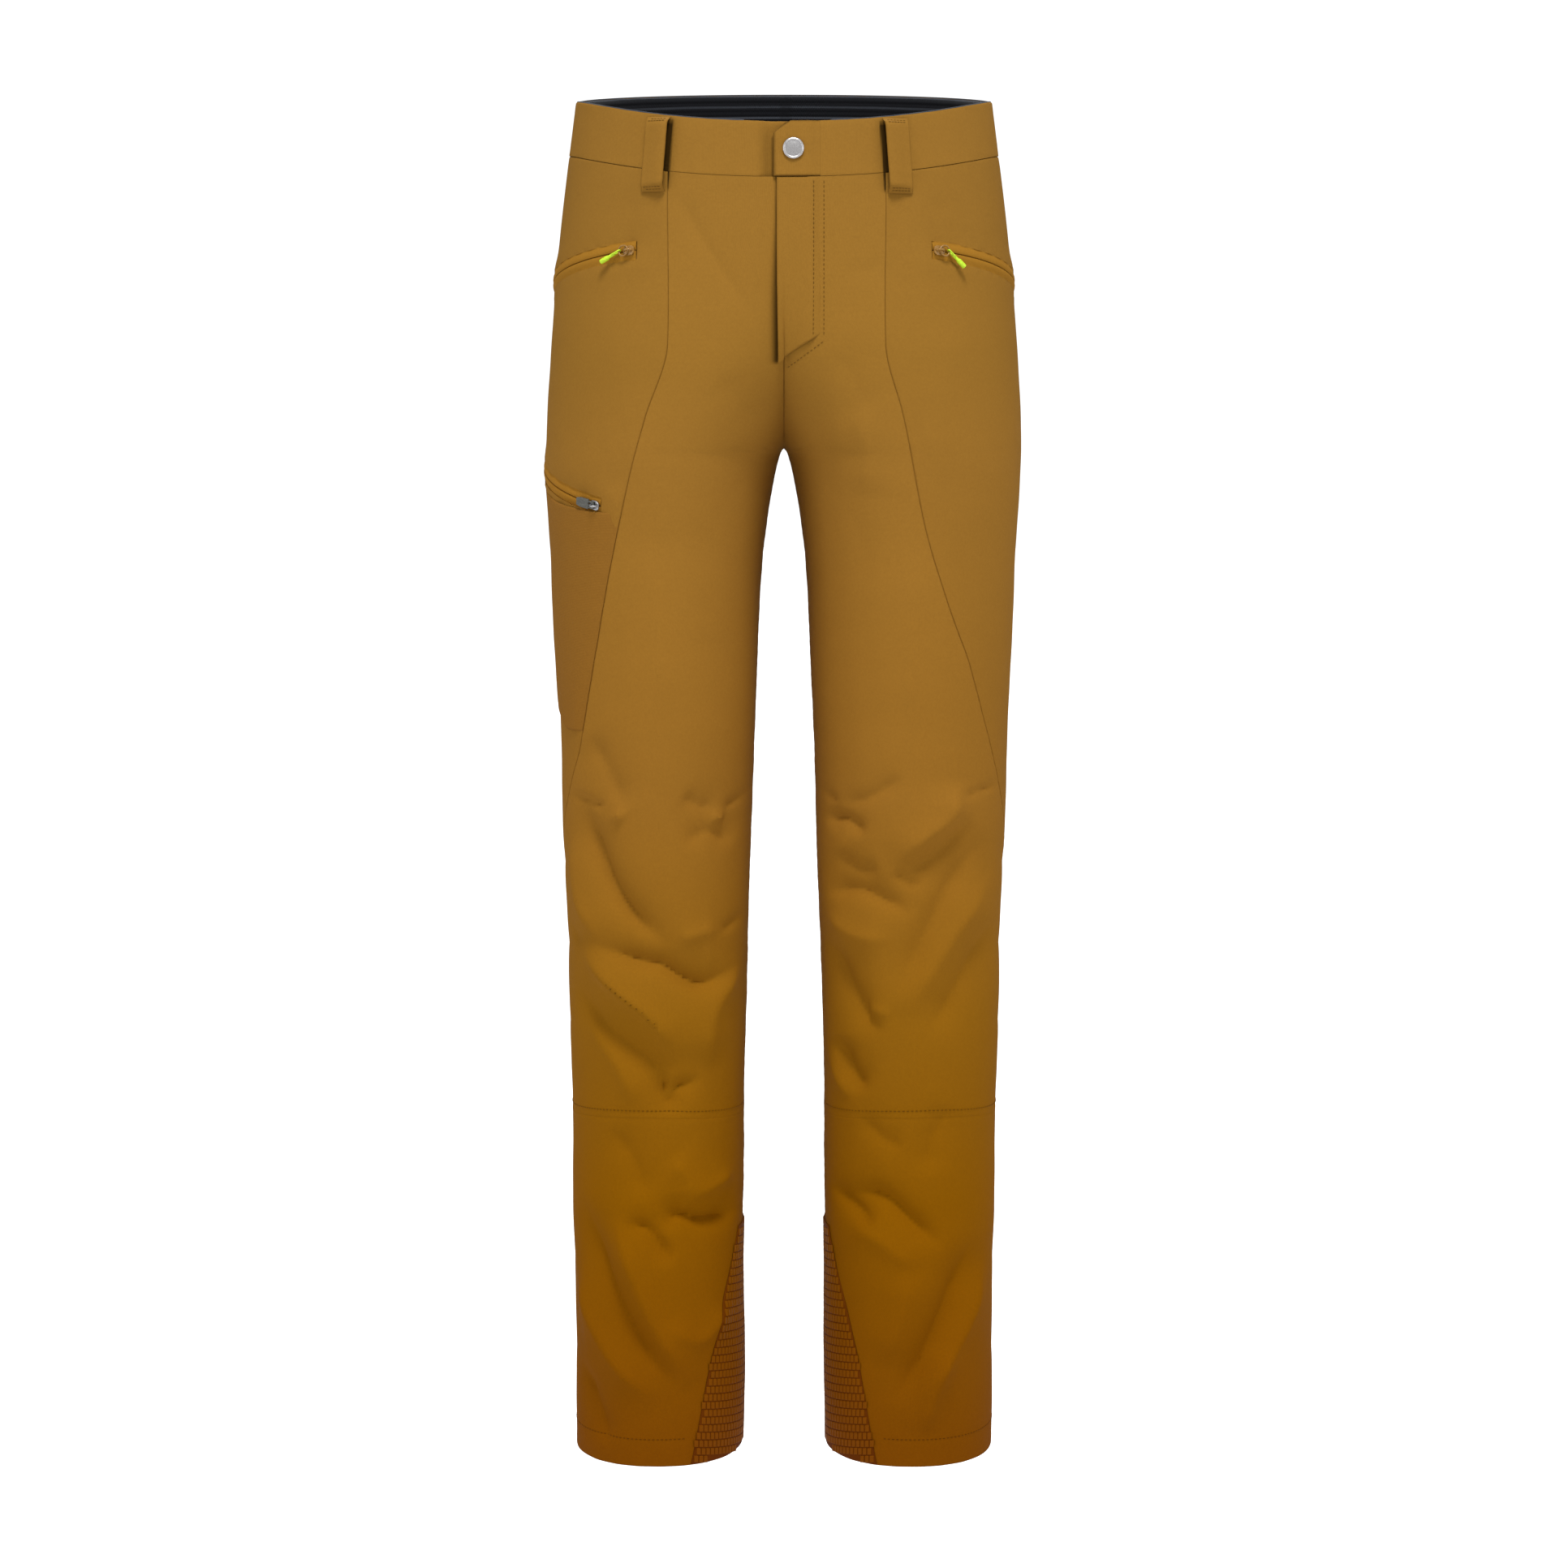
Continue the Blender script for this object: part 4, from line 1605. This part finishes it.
def placed(model, name, matrix, body, slotName, material, *nodes):
    piece = model.copy()
    piece.data = model.data.copy()
    piece.name = name
    piece.data.transform(matrix)
    piece.data.update()
    bpy.context.scene.collection.objects.link(piece)
    return settle(piece, body, slotName, material, *nodes)


sliderModel = makeSlider(metal)
ringModel = makeRing(metal)
pullModel = makePull(metal)
thighTabModel = makeTab(metal, 0.0125, 0.0076, 0.0015)
flyTabModel = makeTab(metal, 0.009, 0.005, 0.0013)
droop = {"hand_zip_right": 0.4, "hand_zip_left": -0.68, "back_zip": 0.0}
for name in droop:
    seat = seatMatrix(zips[name])
    for model, word in ((sliderModel, "slider"), (ringModel, "ring")):
        placed(model, f"{name}_{word}", seat, f"{name}_{word}", "slider_paint", hardware["slider_paint"],
               f"{name}_{word}")
    eye = Matrix.Translation((metal["axle"], 2 * metal["ringRadius"], 0))
    swing = eye @ Matrix.Rotation(droop[name], 4, "X") @ eye.inverted()
    placed(pullModel, f"{name}_cord_pull", seat @ swing, f"{name}_pull", "cord_pull", hardware["cord_pull"],
           f"{name}_cord_pull")
for zipName, tabModel, sliderBody, tabBody, sliderSlot, tabSlot in (
        ("thigh_zip", thighTabModel, "thigh_zip_slider", "thigh_zip_tab", "zip_metal", "tab_plastic"),
        ("fly_zip", flyTabModel, "fly_slider", "fly_slider", "slider_paint", "slider_paint")):
    seat = seatMatrix(zips[zipName])
    for model, word, body, slotName in ((sliderModel, "slider", sliderBody, sliderSlot),
                                        (tabModel, "tab", tabBody, tabSlot)):
        placed(model, f"{zipName}_{word}", seat, body, slotName, hardware[slotName], f"{zipName}_{word}")
for model in (sliderModel, ringModel, pullModel, thighTabModel, flyTabModel):
    bpy.data.objects.remove(model)
print("sliders, rings and pulls made")

# ---- fly shield ----
def flyShield():
    track = zips["fly_zip"]
    long, wide = track["length"] + 0.008, 0.046
    s, t = np.meshgrid(np.linspace(0, 1, 40), np.linspace(0, 1, 16))
    along = -0.004 + s * long
    across = 0.002 + (t - 0.5) * wide
    wave = 0.0004 * np.sin(along / 0.009) * np.cos(across / 0.012)
    outer = onTrack(track, -0.0044 + wave, along, across)
    inner = onTrack(track, -0.0056 + wave, along, across)
    uv = np.stack([along, across], -1).reshape(-1, 2)
    piece, _ = closedSheet("fly_shield", outer, inner, uv)
    outwardFaces(piece)
    smoothFaces(piece)
    settle(piece, "garment", "main_cloth", cloths["main_cloth"], "fly_shield")


flyShield()

# ---- snap fastener ----
snapZ = -(shape["frontDip"] + shape["bandHeight"] / 2)
snapU = frontU(0.007, snapZ)
snapPlace = skin(1, snapU, np.array(snapZ))
snapUp = skinNormal(1, snapU, np.array(snapZ))
snapTurn = Vector((0, 0, 1)).rotation_difference(Vector(snapUp)).to_matrix().to_4x4()
snapMatrix = Matrix.Translation(Vector(snapPlace)) @ snapTurn
snapProfiles = {  # (radius, height) in millimetres above the skin
    "snap_cap": ("fly_cover",
                 [(1.6, 0.7), (1.6, 3.2), (7.6, 3.2), (8.0, 3.5), (8.0, 4.1), (7.75, 4.5), (7.2, 4.85),
                  (6.7, 4.95),
                               (6.35, 4.72), (6.0, 4.68), (4.4, 4.95), (2.4, 5.15), (0.4, 5.2)]),
    "snap_socket": ("fly_cover", [(3.2, -2.4), (5.3, -2.4), (5.6, -2.1), (5.6, 0.1), (5.2, 0.4), (0.6, 0.4)]),
    "snap_stud": ("garment", [(1.6, -6.9), (1.6, -4.1), (4.8, -4.1), (5.0, -3.9), (5.0, -3.6), (4.8, -3.5),
                              (2.0, -3.5), (2.1, -3.0), (2.6, -2.2),
                              (2.3, -1.5), (1.6, -1.2), (0.4, -1.2)]),
    "snap_back_plate": ("garment",
                        [(0.5, -8.3), (5.0, -8.3), (5.4, -8.0), (5.4, -7.4), (5.1, -7.2), (0.5, -7.2)]),
}
for name, (body, profile) in snapProfiles.items():
    piece = turnedPiece(name + "_turned", [(r * mm, h * mm) for r, h in profile], 48)
    smoothFaces(piece, 35)
    placed(piece, name, snapMatrix, body, "snap_metal", hardware["snap_metal"], name)
    bpy.data.objects.remove(piece)
print("snap made")
